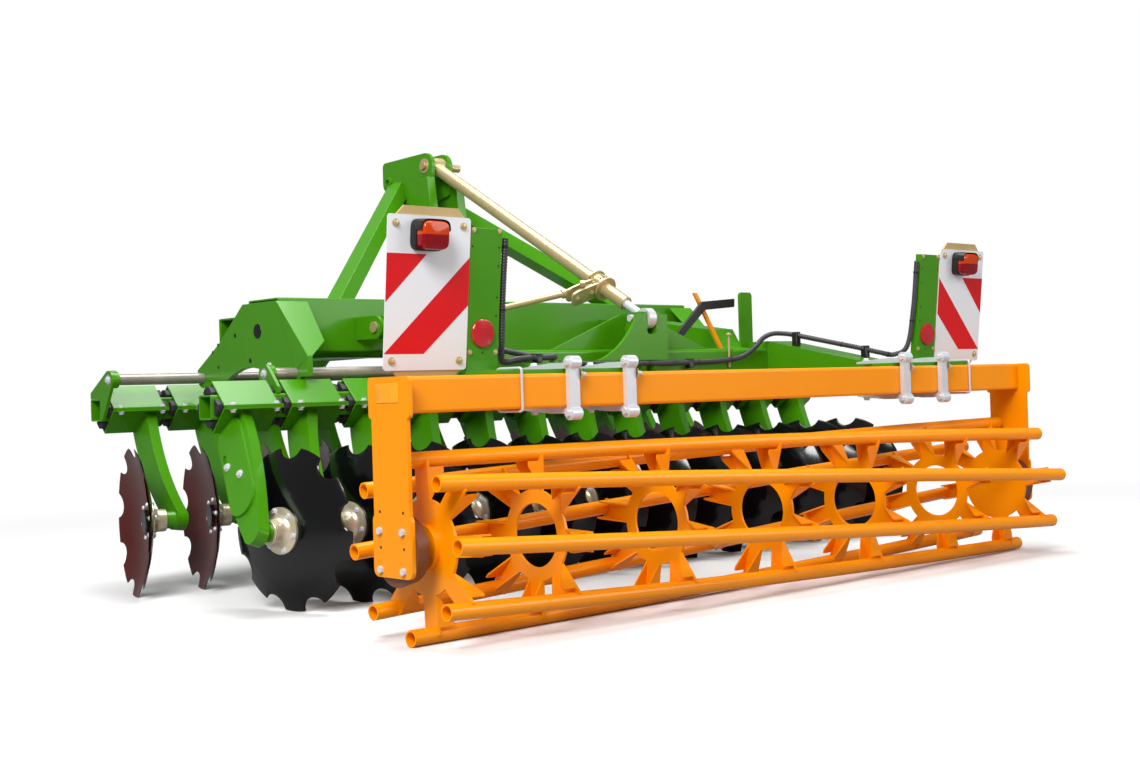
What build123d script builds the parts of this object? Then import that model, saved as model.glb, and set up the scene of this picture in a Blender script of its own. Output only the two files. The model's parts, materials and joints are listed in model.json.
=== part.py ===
from build123d import *
import os
from math import atan2, cos, degrees, radians, sin, sqrt

os.makedirs("parts", exist_ok=True)

# Compact disc harrow, three metres wide. Millimetres, X to the machine's right,
# Y forwards, Z up from the floor. Two rows of notched discs hang on square beams
# in rubber-sprung diamond carriers, and a tube roller runs behind them.

# Discs
disc_diameter = 510
disc_thickness = 5
disc_dish = 48
disc_seat_radius = 74
disc_pitch = 250
discs_per_row = 12
notch_count = 9
notch_radius = 48
notch_centre_out = 14
front_disc_angle = 15.0
rear_disc_angle = 12.0

# Hubs, measured along the axle from the disc's crown
hub_flange_radius = 73
hub_flange_thickness = 9
hub_housing_radius = 39
hub_root_radius = 54
hub_root_length = 16
hub_housing_length = 50
hub_cap_radius = 40
hub_cap_length = 10
axle_radius = 15
axle_depth = 40
axle_boss_radius = 30
axle_boss_length = 24
running_gap = 0.05
seat_gap = 0.3

# Rows of discs and their beams
row_gap = 790
beam_side = 80
beam_wall = 6
beam_height = 640
beam_ahead_of_discs = 321
beam_corner = 8
first_carrier = -1229
beam_bracket_overhang = 131
beam_plain_overhang = 126
sleeve_half_diagonal = 85
sleeve_plate = 6
sleeve_length = 200
sleeve_flange = 24
sleeve_flange_plate = 7
front_disc_offset = -154
rear_disc_offset = -10
rubber_length = 236
rubber_half_width = 27
rubber_nose_half_width = 9
arm_depth = 40
arm_web = 9
arm_end_radius = 38
arm_rim = 7
front_arm_top = 205
rear_arm_top = -2
edge_cover = 9
edge_cover_depth = 122
edge_cover_length = 400
edge_cover_middle = (196, 204)
edge_cover_turn = 46.2
edge_slot_middle = (262, 212)
edge_slot_length = 60
edge_slot_width = 16

# Slide rods that carry the rows and let them shift sideways
rod_radius = 20
rod_height = 746
front_rod_ahead = -105
rear_rod_ahead = 45
bracket_plate = 12
bracket_margin = 8
bracket_shoulder = 62
bracket_eye = 33
collar_radius = 30
collar_length = 20

# Tube roller
roller_diameter = 510
roller_tube_diameter = 45
roller_tube_wall = 5
roller_tube_count = 8
roller_half_length = 1419
roller_twist = 41.0
roller_first_angle = 175.2
stars = (  # place along the axle, way the arms' flanges are folded
    (-1342, 1), (-960, -1), (-480, -1), (0, -1), (480, -1), (960, -1), (1342, -1),
)
stub_place = 1342
star_plate = 8
star_hole_radius = 91
star_ring_radius = 130
star_arm_width = 56
star_flange = 50
star_flange_plate = 5
star_flange_end = 212
star_boss_radius = 62
star_boss_depth = 20
stub_radius = 25
stub_length = 88

# Roller frame
roller_beam_side = 98
roller_beam_wall = 6
roller_beam_height = 661
side_arm_plate = 12
side_arm_inner = 1443
side_arm_head_half = 92
side_arm_half = 79
side_arm_foot_half = 86
side_arm_neck = 600
side_arm_ankle = 352
side_arm_base = 184
bearing_radius = 98
bearing_depth = 42
bearing_neck_radius = 48
bearing_neck = 16
bearing_bolt_spread = 102
bearing_bolt_radius = 10
bearing_bolt_head = 9
link_arm_spread = 785
link_arm_width = 150
fore_arm_spread = 600
fore_arm_width = 140
link_wall = 8
cross_tube_side = 96
cross_tube_ahead = 655
cross_tube_height = 752
pivot_ahead = 1215
pivot_height = 905
lift_limit = 4.0
pivot_pin_radius = 20
pivot_eye_radius = 42
clamp_foot = 15
stop_plate = 10
stop_plate_place = 702
stop_plate_width = 70
stop_plate_top = 1020
lever_plate = 10
clamp_spread = 112
clamp_width = 38
clamp_bar = 17
clamp_reach = 140
clamp_tip = 7
clamp_ear_radius = 19

# Main frame
frame_offset = 40
frame_half_width = 1030
side_plate = 20
side_plate_base = 712
side_plate_top = 1000
rod_lug_radius = 36
rear_lip = 733
heel_ahead = 1120
heel_height = 803
shoulder_ahead = 1313
crest_ahead = 1540
brow_ahead = 1714
brow_height = 869
arch_ahead = 1500
arch_half = 190
arch_rise = 62
closing_plate = 8
closing_low = 82
closing_corner = 72
closing_top = 108
rear_cross_ahead = 1430
rear_cross_depth = 200
rear_cross_top = 1013
rear_cross_rise = 165
front_cross_ahead = 1673
front_cross_depth = 146
front_cross_top = 960
front_cross_rise = 150
cross_beam_wall = 8
rear_cross_lip = 26
tower_plate = 16
tower_plate_inner = 36
head_pin_round = 52
head_link_round = 44
tower_pin_radius = 16
upper_pin_grip = 70
tower_pin_ahead = 1750
tower_pin_height = 1592
top_link_ahead = 2000
top_link_height = 1552
top_link_bore_radius = 12.95
top_link_collar_radius = 24
top_link_collar = 10
collar_room = 4
leg_foot_spread = 690
leg_crown_ahead = 1940
leg_crown_height = 1512
leg_side = 77
leg_depth = 58
leg_wall = 6
mast_crown_ahead = 1752
mast_crown_height = 1530
mast_side = 138
mast_depth = 38
lower_pin_spread = 412
lower_pin_ahead = 2195
lower_pin_height = 700
lower_pin_radius = 14
lower_pin_free = 62
lower_pin_shank_radius = 17
lower_pin_collar_radius = 26
lower_pin_collar = 10
lower_pin_nut = 18
hitch_plate = 16
hitch_plate_gap = 76
hitch_eye_radius = 48

# Depth spindle between tower and roller frame
spindle_foot_ahead = 545
spindle_foot_height = 905
barrel_radius = 25
ratchet_place = 1090
ratchet_radius = 36
ratchet_length = 62
lever_socket_radius = 16
lever_socket_length = 150
lever_radius = 11
lever_length = 400
lever_way = (-340, 156, -79)
spindle_rod_radius = 15
spindle_eye_radius = 36
spindle_eye_width = 34
spindle_pin_radius = 12
foot_pin_length = 168
web_plate = 14
eye_boss_radius = 24
spindle_rod_showing = 116

# Warning boards
board_width = 282
board_height = 423
board_plate = 3
board_lean = 6.0
board_left_edge = -1392
board_right_edge = 1128
board_ahead = 112
board_foot = 728
backing_plate = 8
backing_overhang = 25
backing_inset = 8
backing_chamfer = 48
post_width = 112
post_height = 404
post_depth = 26
post_plate = 4
foot_bar = 12
foot_bars = (  # left end, right end
    (-1106, -600), (664, 1124),
)
lamp_width = 100
lamp_height = 88
lamp_base = 24
lamp_lens = 34
lamp_below_top = 82
conduit_radius = 9.5
conduit_run = (  # x, y, z from the roller's axle line, left post to right post
    (-974, 86, 1105), (-974, 105, 930), (-970, 122, 790), (-940, 155, 752), (-890, 190, 748),
    (-820, 215, 757), (-745, 222, 760), (-670, 210, 757), (-600, 150, 738), (-500, 60, 722),
    (-380, 36, 720), (0, 34, 720), (380, 36, 720), (500, 70, 724), (590, 190, 750),
    (655, 370, 800), (715, 520, 830), (770, 560, 838), (805, 480, 815), (840, 300, 777),
    (890, 198, 757), (950, 168, 750), (988, 132, 788), (992, 105, 930), (992, 86, 1105),
)
conduit_branch = ((-745, 222, 760), (-760, 330, 783), (-785, 460, 810), (-790, 580, 834))

disc_radius = disc_diameter / 2
roller_radius = roller_diameter / 2
tube_radius = roller_tube_diameter / 2
tube_circle = roller_radius - tube_radius
row_length = disc_pitch * (discs_per_row - 1)

# The origin lies on the floor at the middle of the whole machine's box.
roller_face = side_arm_inner + side_arm_plate + bearing_bolt_head
rear_row_end = first_carrier + row_length + beam_bracket_overhang
x_roller = (roller_face - rear_row_end) / 2
front_reach = lower_pin_ahead + hitch_eye_radius
y_roller = (roller_radius - front_reach) / 2
x_frame = x_roller + frame_offset
x_carrier = x_roller + first_carrier
y_rear_disc = y_roller + 837
y_front_disc = y_rear_disc + row_gap
y_rear_beam = y_rear_disc + beam_ahead_of_discs
y_front_beam = y_front_disc + beam_ahead_of_discs
y_rear_cross = y_roller + rear_cross_ahead
y_front_cross = y_roller + front_cross_ahead

half_beam = beam_side / 2
sleeve_inner = sleeve_half_diagonal - sleeve_plate * sqrt(2)
hub_length = hub_flange_thickness + hub_housing_length
arm_face = disc_dish + hub_length + axle_boss_length


class Row:
    """One row of discs: its places, the side of its hubs and its slide rod's place."""

    def __init__(self, name, side, disc_offset, y_disc, y_beam, angle, arm_top, rod_ahead):
        self.name = name
        self.side = side
        self.x = x_carrier + disc_offset
        self.y_disc = y_disc
        self.y_beam = y_beam
        self.angle = angle
        self.arm_top = arm_top
        self.rod_ahead = rod_ahead
        self.y_rod = y_beam + rod_ahead
        self.to_hub = Vector(side * cos(radians(angle)), -sin(radians(angle)), 0)
        self.x_sleeve = x_carrier
        last = self.x_sleeve + row_length
        if side > 0:
            self.left = self.x_sleeve - beam_bracket_overhang
            self.right = last + beam_plain_overhang
            self.brackets = (self.left, last - disc_pitch / 2 - bracket_plate / 2)
        else:
            self.left = self.x_sleeve - beam_plain_overhang
            self.right = last + beam_bracket_overhang
            self.brackets = (
                self.right - bracket_plate,
                self.x_sleeve + disc_pitch / 2 - bracket_plate / 2,
            )


class Bend:
    """Middles of an arm's two long edges, as shares of its run forwards and upwards."""

    def __init__(self, back, back_up, brow, brow_up):
        self.back, self.back_up = back, back_up
        self.brow, self.brow_up = brow, brow_up


arm_bend = Bend(0.41, 0.447, 0.63, 0.31)
edge_bend = Bend(0.449, 0.667, 0.682, 0.382)

rows = (
    Row("front", 1, front_disc_offset, y_front_disc, y_front_beam, front_disc_angle,
        front_arm_top, front_rod_ahead),
    Row("rear", -1, rear_disc_offset, y_rear_disc, y_rear_beam, rear_disc_angle,
        rear_arm_top, rear_rod_ahead),
)
y_front_rod, y_rear_rod = rows[0].y_rod, rows[1].y_rod


def save(part, label):
    """Label a finished piece and write it as its own file."""
    part.label = label
    export_step(part, f"parts/{label}.step")


def side_plane(x, y=0.0, z=0.0):
    """Plane seen from the machine's right: its x runs forwards, its y up."""
    return Plane(origin=(x, y, z), x_dir=(0, 1, 0), z_dir=(1, 0, 0))


# Discs with their hubs: the dished blade, its nine notches, and the hub on its crown
for row in rows:
    for i in range(discs_per_row):
        centre = (row.x + i * disc_pitch, row.y_disc, disc_radius)
        rim = Plane(origin=centre, x_dir=(0, 0, -1), z_dir=row.to_hub)
        profile = Plane(origin=centre, x_dir=(0, 0, -1),
                        z_dir=row.to_hub.cross(Vector(0, 0, -1)) * -1)
        with BuildPart() as disc:
            with BuildSketch(profile):
                with BuildLine():
                    Polyline(
                        (0, disc_dish - disc_thickness),
                        (disc_seat_radius, disc_dish - disc_thickness),
                        (disc_radius, -disc_thickness / 2),
                        (disc_radius, disc_thickness / 2),
                        (disc_seat_radius, disc_dish),
                        (0, disc_dish),
                        close=True,
                    )
                make_face()
            revolve(axis=Axis(centre, row.to_hub))
            with BuildSketch(rim.offset(-disc_dish)):
                with PolarLocations(disc_radius + notch_centre_out, notch_count,
                                    start_angle=180 / notch_count):
                    Circle(notch_radius)
            extrude(amount=2 * disc_dish, mode=Mode.SUBTRACT)
        with BuildPart() as hub:
            with BuildSketch(rim.offset(disc_dish + seat_gap)):
                Circle(hub_flange_radius)
            extrude(amount=hub_flange_thickness)
            with BuildSketch(profile):
                with BuildLine():
                    root = disc_dish + seat_gap + hub_flange_thickness
                    Polyline(
                        (0, root),
                        (hub_root_radius, root),
                        (hub_housing_radius, root + hub_root_length),
                        (hub_housing_radius, root + hub_housing_length),
                        (0, root + hub_housing_length),
                        close=True,
                    )
                make_face()
            revolve(axis=Axis(centre, row.to_hub))
            with BuildSketch(rim.offset(disc_dish + hub_length - axle_depth)):
                Circle(axle_radius + running_gap)
            extrude(amount=2 * axle_depth, mode=Mode.SUBTRACT)
        with BuildPart() as cap:
            with BuildSketch(rim.offset(disc_dish - disc_thickness - seat_gap)):
                Circle(hub_cap_radius)
            extrude(amount=-hub_cap_length)
        save(Compound(children=[disc.part, hub.part, cap.part]),
             f"disc_{row.name}_{i + 1:02d}")

# Rows: beam, upper halves of the carriers, lower halves with arms, rubbers, rods
for row in rows:
    ends = side_plane(row.left, row.y_beam, beam_height)
    with BuildPart() as beam:
        with BuildSketch(ends):
            RectangleRounded(beam_side, beam_side, beam_corner)
            RectangleRounded(beam_side - 2 * beam_wall, beam_side - 2 * beam_wall,
                             beam_corner - beam_wall, mode=Mode.SUBTRACT)
        extrude(amount=row.right - row.left)
    save(beam.part, f"{row.name}_beam")

    flange_end = sleeve_half_diagonal + sleeve_flange
    inner_end = sleeve_inner - seat_gap
    caps, lowers, rubbers = [], [], []
    for i in range(discs_per_row):
        x_disc = row.x + i * disc_pitch
        x_mid = row.x_sleeve + i * disc_pitch
        section = side_plane(x_mid - sleeve_length / 2, row.y_beam, beam_height)
        with BuildPart() as upper:
            with BuildSketch(section):
                with BuildLine():
                    Polyline(
                        (-flange_end, seat_gap / 2),
                        (-flange_end, sleeve_flange_plate),
                        (sleeve_flange_plate - sleeve_half_diagonal, sleeve_flange_plate),
                        (0, sleeve_half_diagonal),
                        (sleeve_half_diagonal - sleeve_flange_plate, sleeve_flange_plate),
                        (flange_end, sleeve_flange_plate),
                        (flange_end, seat_gap / 2),
                        (inner_end, seat_gap / 2),
                        (0, sleeve_inner),
                        (-inner_end, seat_gap / 2),
                        close=True,
                    )
                make_face()
            extrude(amount=sleeve_length)
        caps.append(upper.part)

        arm_foot = Vector(x_disc, row.y_disc, disc_radius) + row.to_hub * (
            arm_face + arm_depth / 2)
        lean = atan2(arm_foot.X - x_disc - row.arm_top, beam_height - disc_radius)
        across = Vector(cos(lean), 0, sin(lean))
        up = Vector(-sin(lean), 0, cos(lean))
        arm_plane = Plane(origin=arm_foot - across * (arm_depth / 2), x_dir=(0, 1, 0),
                          z_dir=across)
        ahead = row.y_beam - arm_foot.Y
        top = (beam_height - disc_radius) / cos(lean)
        nose = arm_end_radius * sqrt(0.5)
        bend = edge_bend if row.side < 0 and i == 0 else arm_bend
        with BuildPart() as lower:
            with BuildSketch(arm_plane):
                with BuildLine():
                    back = ThreePointArc((-nose, nose), (ahead * bend.back, top * bend.back_up),
                                         (ahead - 71, top - 17))
                    over = Line(back @ 1, (ahead + 57, top - 23))
                    brow = ThreePointArc(over @ 1, (ahead * bend.brow, top * bend.brow_up),
                                         (nose, -nose))
                    ThreePointArc(brow @ 1, (-nose, -nose), back @ 0)
                make_face()
            extrude(amount=arm_depth)
            with BuildSketch(arm_plane.offset(arm_web)):
                with BuildLine():
                    back = ThreePointArc(
                        (2, nose + 14),
                        (ahead * bend.back + arm_rim, top * bend.back_up - arm_rim),
                        (ahead - 52, top - 58))
                    over = Line(back @ 1, (ahead + 10, top - 84))
                    brow = ThreePointArc(
                        over @ 1,
                        (ahead * bend.brow - arm_rim, top * bend.brow_up + arm_rim),
                        (nose + 14, 2))
                    Line(brow @ 1, back @ 0)
                make_face()
            extrude(amount=arm_depth, mode=Mode.SUBTRACT)
            with BuildSketch(section):
                with BuildLine():
                    Polyline(
                        (-flange_end, -seat_gap / 2),
                        (-flange_end, -sleeve_flange_plate),
                        (sleeve_flange_plate - sleeve_half_diagonal, -sleeve_flange_plate),
                        (0, -sleeve_half_diagonal),
                        (sleeve_half_diagonal - sleeve_flange_plate, -sleeve_flange_plate),
                        (flange_end, -sleeve_flange_plate),
                        (flange_end, -seat_gap / 2),
                        close=True,
                    )
                make_face()
            extrude(amount=sleeve_length)
            with BuildSketch(section.offset(-sleeve_length)):
                with BuildLine():
                    Polyline(
                        (-inner_end, -seat_gap / 2),
                        (0, -sleeve_inner),
                        (inner_end, -seat_gap / 2),
                        (inner_end, sleeve_inner),
                        (-inner_end, sleeve_inner),
                        close=True,
                    )
                make_face()
            extrude(amount=3 * sleeve_length, mode=Mode.SUBTRACT)
            boss = Plane(origin=arm_foot, z_dir=row.to_hub * -1)
            with BuildSketch(boss):
                Circle(axle_boss_radius)
            extrude(amount=arm_depth / 2 + axle_boss_length - 1)
            with BuildSketch(boss):
                Circle(axle_radius)
            extrude(amount=arm_depth / 2 + axle_boss_length + axle_depth - 1)
        lowers.append(lower.part)
        if row.side < 0 and i == 0:
            cover_face = arm_plane.offset(-edge_cover - seat_gap)
            with BuildPart() as cover:
                with BuildSketch(cover_face):
                    with Locations(Location(edge_cover_middle, edge_cover_turn)):
                        SlotOverall(edge_cover_length, edge_cover_depth)
                    with Locations(Location(edge_slot_middle, edge_cover_turn)):
                        SlotOverall(edge_slot_length, edge_slot_width, mode=Mode.SUBTRACT)
                extrude(amount=edge_cover)
                with BuildSketch(section.offset(-sleeve_length)):
                    Rectangle(3 * flange_end, 2 * (sleeve_flange_plate + seat_gap))
                    Rectangle(3 * flange_end, flange_end, align=(Align.CENTER, Align.MIN))
                    room_side = sleeve_half_diagonal * sqrt(2) + 2 * seat_gap
                    Rectangle(room_side, room_side, rotation=45)
                extrude(amount=3 * sleeve_length, mode=Mode.SUBTRACT)
            save(cover.part, "edge_arm")

        room = sleeve_inner - seat_gap * sqrt(2)
        with BuildPart() as cords:
            with BuildSketch(section.offset((sleeve_length - rubber_length) / 2)):
                with PolarLocations(0, 4):
                    Polygon(
                        (half_beam + seat_gap, rubber_half_width),
                        (half_beam + seat_gap, -rubber_half_width),
                        (room - rubber_half_width, -rubber_half_width),
                        (room - rubber_nose_half_width, -rubber_nose_half_width),
                        (room - rubber_nose_half_width, rubber_nose_half_width),
                        (room - rubber_half_width, rubber_half_width),
                        align=None,
                    )
            extrude(amount=rubber_length)
        rubbers.append(cords.part)
    save(Compound(children=caps), f"{row.name}_carrier_caps")
    save(Compound(children=lowers), f"{row.name}_carrier_arms")
    save(Compound(children=rubbers), f"{row.name}_rubber_cords")

    rod_left, rod_right = min(row.brackets), max(row.brackets) + bracket_plate
    with BuildPart() as rod:
        with BuildSketch(side_plane(rod_left, row.y_rod, rod_height)):
            Circle(rod_radius)
        extrude(amount=rod_right - rod_left)
    save(rod.part, f"{row.name}_slide_rod")

    brackets = []
    rod_rise = rod_height - beam_height
    rear_edge = -half_beam - (bracket_margin if row.rod_ahead < 0 else 0)
    front_edge = half_beam + (bracket_margin if row.rod_ahead > 0 else 0)
    for x in row.brackets:
        with BuildPart() as bracket:
            with BuildSketch(side_plane(x, row.y_beam, beam_height)):
                with Locations((row.rod_ahead, rod_rise)):
                    Circle(bracket_eye)
                with Locations(((rear_edge + front_edge) / 2,
                                (bracket_shoulder - half_beam) / 2)):
                    Rectangle(front_edge - rear_edge, bracket_shoulder + half_beam)
                make_hull()
                with Locations((row.rod_ahead, rod_rise)):
                    Circle(rod_radius + seat_gap, mode=Mode.SUBTRACT)
                Rectangle(beam_side + 2 * seat_gap, beam_side + 2 * seat_gap,
                          mode=Mode.SUBTRACT)
            extrude(amount=bracket_plate)
            x_collar = x + bracket_plate if x == rod_left else x - collar_length
            with BuildSketch(side_plane(x_collar, row.y_rod, rod_height)):
                Circle(collar_radius)
                Circle(rod_radius + seat_gap, mode=Mode.SUBTRACT)
            extrude(amount=collar_length)
        brackets.append(bracket.part)
    save(Compound(children=brackets), f"{row.name}_rod_brackets")

# Main frame: side plates with the rods' bores and the arch between them
frame_plates = []
for sign in (-1, 1):
    x_outer = x_frame + sign * frame_half_width
    x_low = min(x_outer, x_outer - sign * side_plate)
    with BuildPart() as plate:
        with BuildSketch(side_plane(x_low)):
            with Locations((y_front_rod, rod_height), (y_rear_rod, rod_height)):
                Circle(rod_lug_radius)
            with BuildLine():
                Polyline(
                    (y_roller + heel_ahead, rear_lip),
                    (y_rear_rod - rod_lug_radius, rear_lip),
                    (y_rear_rod, side_plate_base),
                    (y_front_rod, side_plate_base),
                    (y_front_rod + rod_lug_radius, rod_height),
                    (y_front_rod + rod_lug_radius, rod_height + 30),
                    (y_roller + brow_ahead, brow_height),
                    (y_roller + crest_ahead, side_plate_top),
                    (y_roller + shoulder_ahead, side_plate_top),
                    (y_roller + heel_ahead, heel_height),
                    close=True,
                )
            make_face()
            with BuildLine():
                y_mid = y_roller + arch_ahead
                Line((y_mid - arch_half, side_plate_base), (y_mid + arch_half, side_plate_base))
                ThreePointArc((y_mid + arch_half, side_plate_base),
                              (y_mid, side_plate_base + arch_rise),
                              (y_mid - arch_half, side_plate_base))
            make_face(mode=Mode.SUBTRACT)
            with Locations((y_rear_rod, rod_height), (y_front_rod, rod_height)):
                Circle(rod_radius + running_gap, mode=Mode.SUBTRACT)
        extrude(amount=side_plate)
        rear_edge = Vector(0, shoulder_ahead - heel_ahead, side_plate_top - heel_height)
        closing = Plane(
            origin=(x_outer - sign * side_plate, y_roller + heel_ahead, heel_height),
            x_dir=(-sign, 0, 0), z_dir=Vector(-sign, 0, 0).cross(rear_edge))
        with BuildSketch(closing):
            with BuildLine():
                Polyline((0, 0), (closing_low, closing_corner), (closing_top, rear_edge.length),
                         (0, rear_edge.length), close=True)
            make_face()
        extrude(amount=sign * closing_plate)
    frame_plates.append(plate.part)
save(Compound(children=frame_plates), "frame_plates")

# Cross beams between the side plates
cross_length = 2 * (frame_half_width - side_plate)
with BuildPart() as cross_beams:
    for y, top, depth, rise in (
        (y_rear_cross, rear_cross_top, rear_cross_depth, rear_cross_rise),
        (y_front_cross, front_cross_top, front_cross_depth, front_cross_rise),
    ):
        with BuildSketch(side_plane(x_frame - cross_length / 2, y, top - rise / 2)):
            Rectangle(depth, rise)
            Rectangle(depth - 2 * cross_beam_wall, rise - 2 * cross_beam_wall,
                      mode=Mode.SUBTRACT)
        extrude(amount=cross_length)
    lip_top = rear_cross_top - rear_cross_rise
    y_rear_face = y_rear_cross - rear_cross_depth / 2
    with BuildSketch(side_plane(x_frame - cross_length / 2)):
        with Locations((y_rear_face + cross_beam_wall / 2, lip_top)):
            Rectangle(cross_beam_wall, 2 * rear_cross_lip)
    extrude(amount=cross_length)
save(cross_beams.part, "frame_cross_beams")

# Tower: two head plates, two legs on the front cross beam and two rear struts
head_outer = tower_plate_inner + tower_plate
heads = []
for sign in (-1, 1):
    x_low = x_frame + sign * tower_plate_inner + (0 if sign > 0 else -tower_plate)
    with BuildPart() as head:
        with BuildSketch(side_plane(x_low, y_roller)):
            for y, z, radius in (
                (tower_pin_ahead, tower_pin_height, head_pin_round),
                (top_link_ahead, top_link_height, head_link_round),
                (top_link_ahead + 24, top_link_height + 66, 20),
                (tower_pin_ahead - 30, tower_pin_height - 112, 10),
                (top_link_ahead - 90, top_link_height - 100, 12),
            ):
                with Locations((y, z)):
                    Circle(radius)
            make_hull()
            with Locations((tower_pin_ahead, tower_pin_height)):
                Circle(tower_pin_radius + seat_gap, mode=Mode.SUBTRACT)
        extrude(amount=tower_plate)
        collar_plane = Plane(
            origin=(x_frame + sign * head_outer, y_roller + top_link_ahead, top_link_height),
            z_dir=(sign, 0, 0))
        with BuildSketch(collar_plane):
            Circle(top_link_collar_radius)
        extrude(amount=top_link_collar)
        with BuildSketch(collar_plane.offset(-2 * tower_plate)):
            Circle(top_link_bore_radius)
        extrude(amount=4 * tower_plate, mode=Mode.SUBTRACT)
    heads.append(head.part)
save(Compound(children=heads), "tower_head")

bars = []
for sign in (-1, 1):
    x_face = x_frame + sign * head_outer
    outside_head = Plane(origin=(x_face, 0, 0), z_dir=(sign, 0, 0))
    for foot, crown, side, depth in (
        (Vector(x_frame + sign * leg_foot_spread, y_rear_cross, rear_cross_top),
         Vector(x_face, y_roller + leg_crown_ahead, leg_crown_height), leg_side, leg_depth),
        (Vector(x_face + sign * mast_depth / 2, y_front_cross, front_cross_top),
         Vector(x_face + sign * mast_depth / 2, y_roller + mast_crown_ahead,
                mast_crown_height), mast_side, mast_depth),
    ):
        run = crown - foot
        overrun = side if side == leg_side else 0
        with BuildPart() as bar:
            with BuildSketch(Plane(origin=foot - run.normalized() * side, x_dir=(0, 1, 0),
                                   z_dir=run)):
                Rectangle(side, depth)
                Rectangle(side - 2 * leg_wall, depth - 2 * leg_wall, mode=Mode.SUBTRACT)
            extrude(amount=run.length + side + overrun)
            split(bisect_by=Plane(origin=(0, 0, foot.Z), z_dir=(0, 0, 1)), keep=Keep.TOP)
            split(bisect_by=outside_head, keep=Keep.TOP)
            with BuildSketch(Plane(origin=(x_face, y_roller + top_link_ahead, top_link_height),
                                   z_dir=(sign, 0, 0))):
                Circle(top_link_collar_radius + collar_room)
            extrude(amount=leg_foot_spread, mode=Mode.SUBTRACT)
        bars.append(bar.part)
save(Compound(children=bars), "tower_legs")

# Pins of the frame: spindle's upper pin, lower links, roller frame's pivots
with BuildPart() as upper_pin:
    with BuildSketch(side_plane(x_frame - head_outer - 14, y_roller + tower_pin_ahead,
                                tower_pin_height)):
        Circle(tower_pin_radius)
    extrude(amount=2 * head_outer + 14 + upper_pin_grip)
frame_pins = [upper_pin.part]

# Lower hitch: a pair of hooked plates each side with the link pin through them
cheeks = []
for sign in (-1, 1):
    x_mid = x_frame + sign * lower_pin_spread
    for x_low in (x_mid - hitch_plate_gap / 2 - hitch_plate, x_mid + hitch_plate_gap / 2):
        with BuildPart() as cheek:
            with BuildSketch(side_plane(x_low, y_roller)):
                with BuildLine():
                    face_y = front_cross_ahead + front_cross_depth / 2
                    y_pin, z_pin = lower_pin_ahead, lower_pin_height
                    Polyline(
                        (face_y, front_cross_top),
                        (face_y, front_cross_top - front_cross_rise),
                        (y_pin - 175, z_pin + 108),
                        (y_pin - 80, z_pin + 40),
                        (y_pin - hitch_eye_radius, z_pin),
                        (y_pin + hitch_eye_radius, z_pin),
                        (y_pin + hitch_eye_radius, z_pin + 70),
                        (y_pin - 60, z_pin + 215),
                        (face_y + 80, front_cross_top),
                        close=True,
                    )
                make_face()
                with Locations((y_pin, z_pin)):
                    Circle(hitch_eye_radius)
                    Circle(lower_pin_shank_radius + seat_gap, mode=Mode.SUBTRACT)
            extrude(amount=hitch_plate)
        cheeks.append(cheek.part)
    shank_length = hitch_plate_gap + 2 * hitch_plate + lower_pin_nut + seat_gap
    x_pin = x_mid - sign * (hitch_plate_gap / 2 + hitch_plate + lower_pin_nut)
    pin_plane = Plane(origin=(x_pin, y_roller + lower_pin_ahead, lower_pin_height),
                      z_dir=(sign, 0, 0))
    with BuildPart() as pin:
        with BuildSketch(pin_plane):
            Circle(lower_pin_shank_radius)
        extrude(amount=shank_length)
        with BuildSketch(pin_plane.offset(shank_length)):
            Circle(lower_pin_collar_radius)
        extrude(amount=lower_pin_collar)
        with BuildSketch(pin_plane.offset(shank_length + lower_pin_collar)):
            Circle(lower_pin_radius)
        extrude(amount=lower_pin_free)
    frame_pins.append(pin.part)
save(Compound(children=cheeks), "hitch_cheeks")

# Lugs on the rear cross beam that carry the roller frame's pivots
rear_face = rear_cross_ahead - rear_cross_depth / 2
lug_plate = 14
lug_gap = fore_arm_width / 2 + 6
lugs = []
for sign in (-1, 1):
    x_mid = x_frame + sign * fore_arm_spread
    for x_low in (x_mid - lug_gap - lug_plate, x_mid + lug_gap):
        with BuildPart() as lug:
            with BuildSketch(side_plane(x_low, y_roller)):
                with BuildLine():
                    Polyline(
                        (rear_face, pivot_height + pivot_eye_radius),
                        (pivot_ahead, pivot_height + pivot_eye_radius),
                        (pivot_ahead, pivot_height - pivot_eye_radius),
                        (rear_face, pivot_height - pivot_eye_radius),
                        close=True,
                    )
                make_face()
                with Locations((pivot_ahead, pivot_height)):
                    Circle(pivot_eye_radius)
                    Circle(pivot_pin_radius + seat_gap, mode=Mode.SUBTRACT)
            extrude(amount=lug_plate)
        lugs.append(lug.part)
    with BuildPart() as pin:
        with BuildSketch(side_plane(x_mid - lug_gap - lug_plate - 8,
                                    y_roller + pivot_ahead, pivot_height)):
            Circle(pivot_pin_radius)
        extrude(amount=2 * (lug_gap + lug_plate + 8))
    frame_pins.append(pin.part)
save(Compound(children=lugs), "pivot_lugs")
save(Compound(children=frame_pins), "frame_pins")

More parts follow.
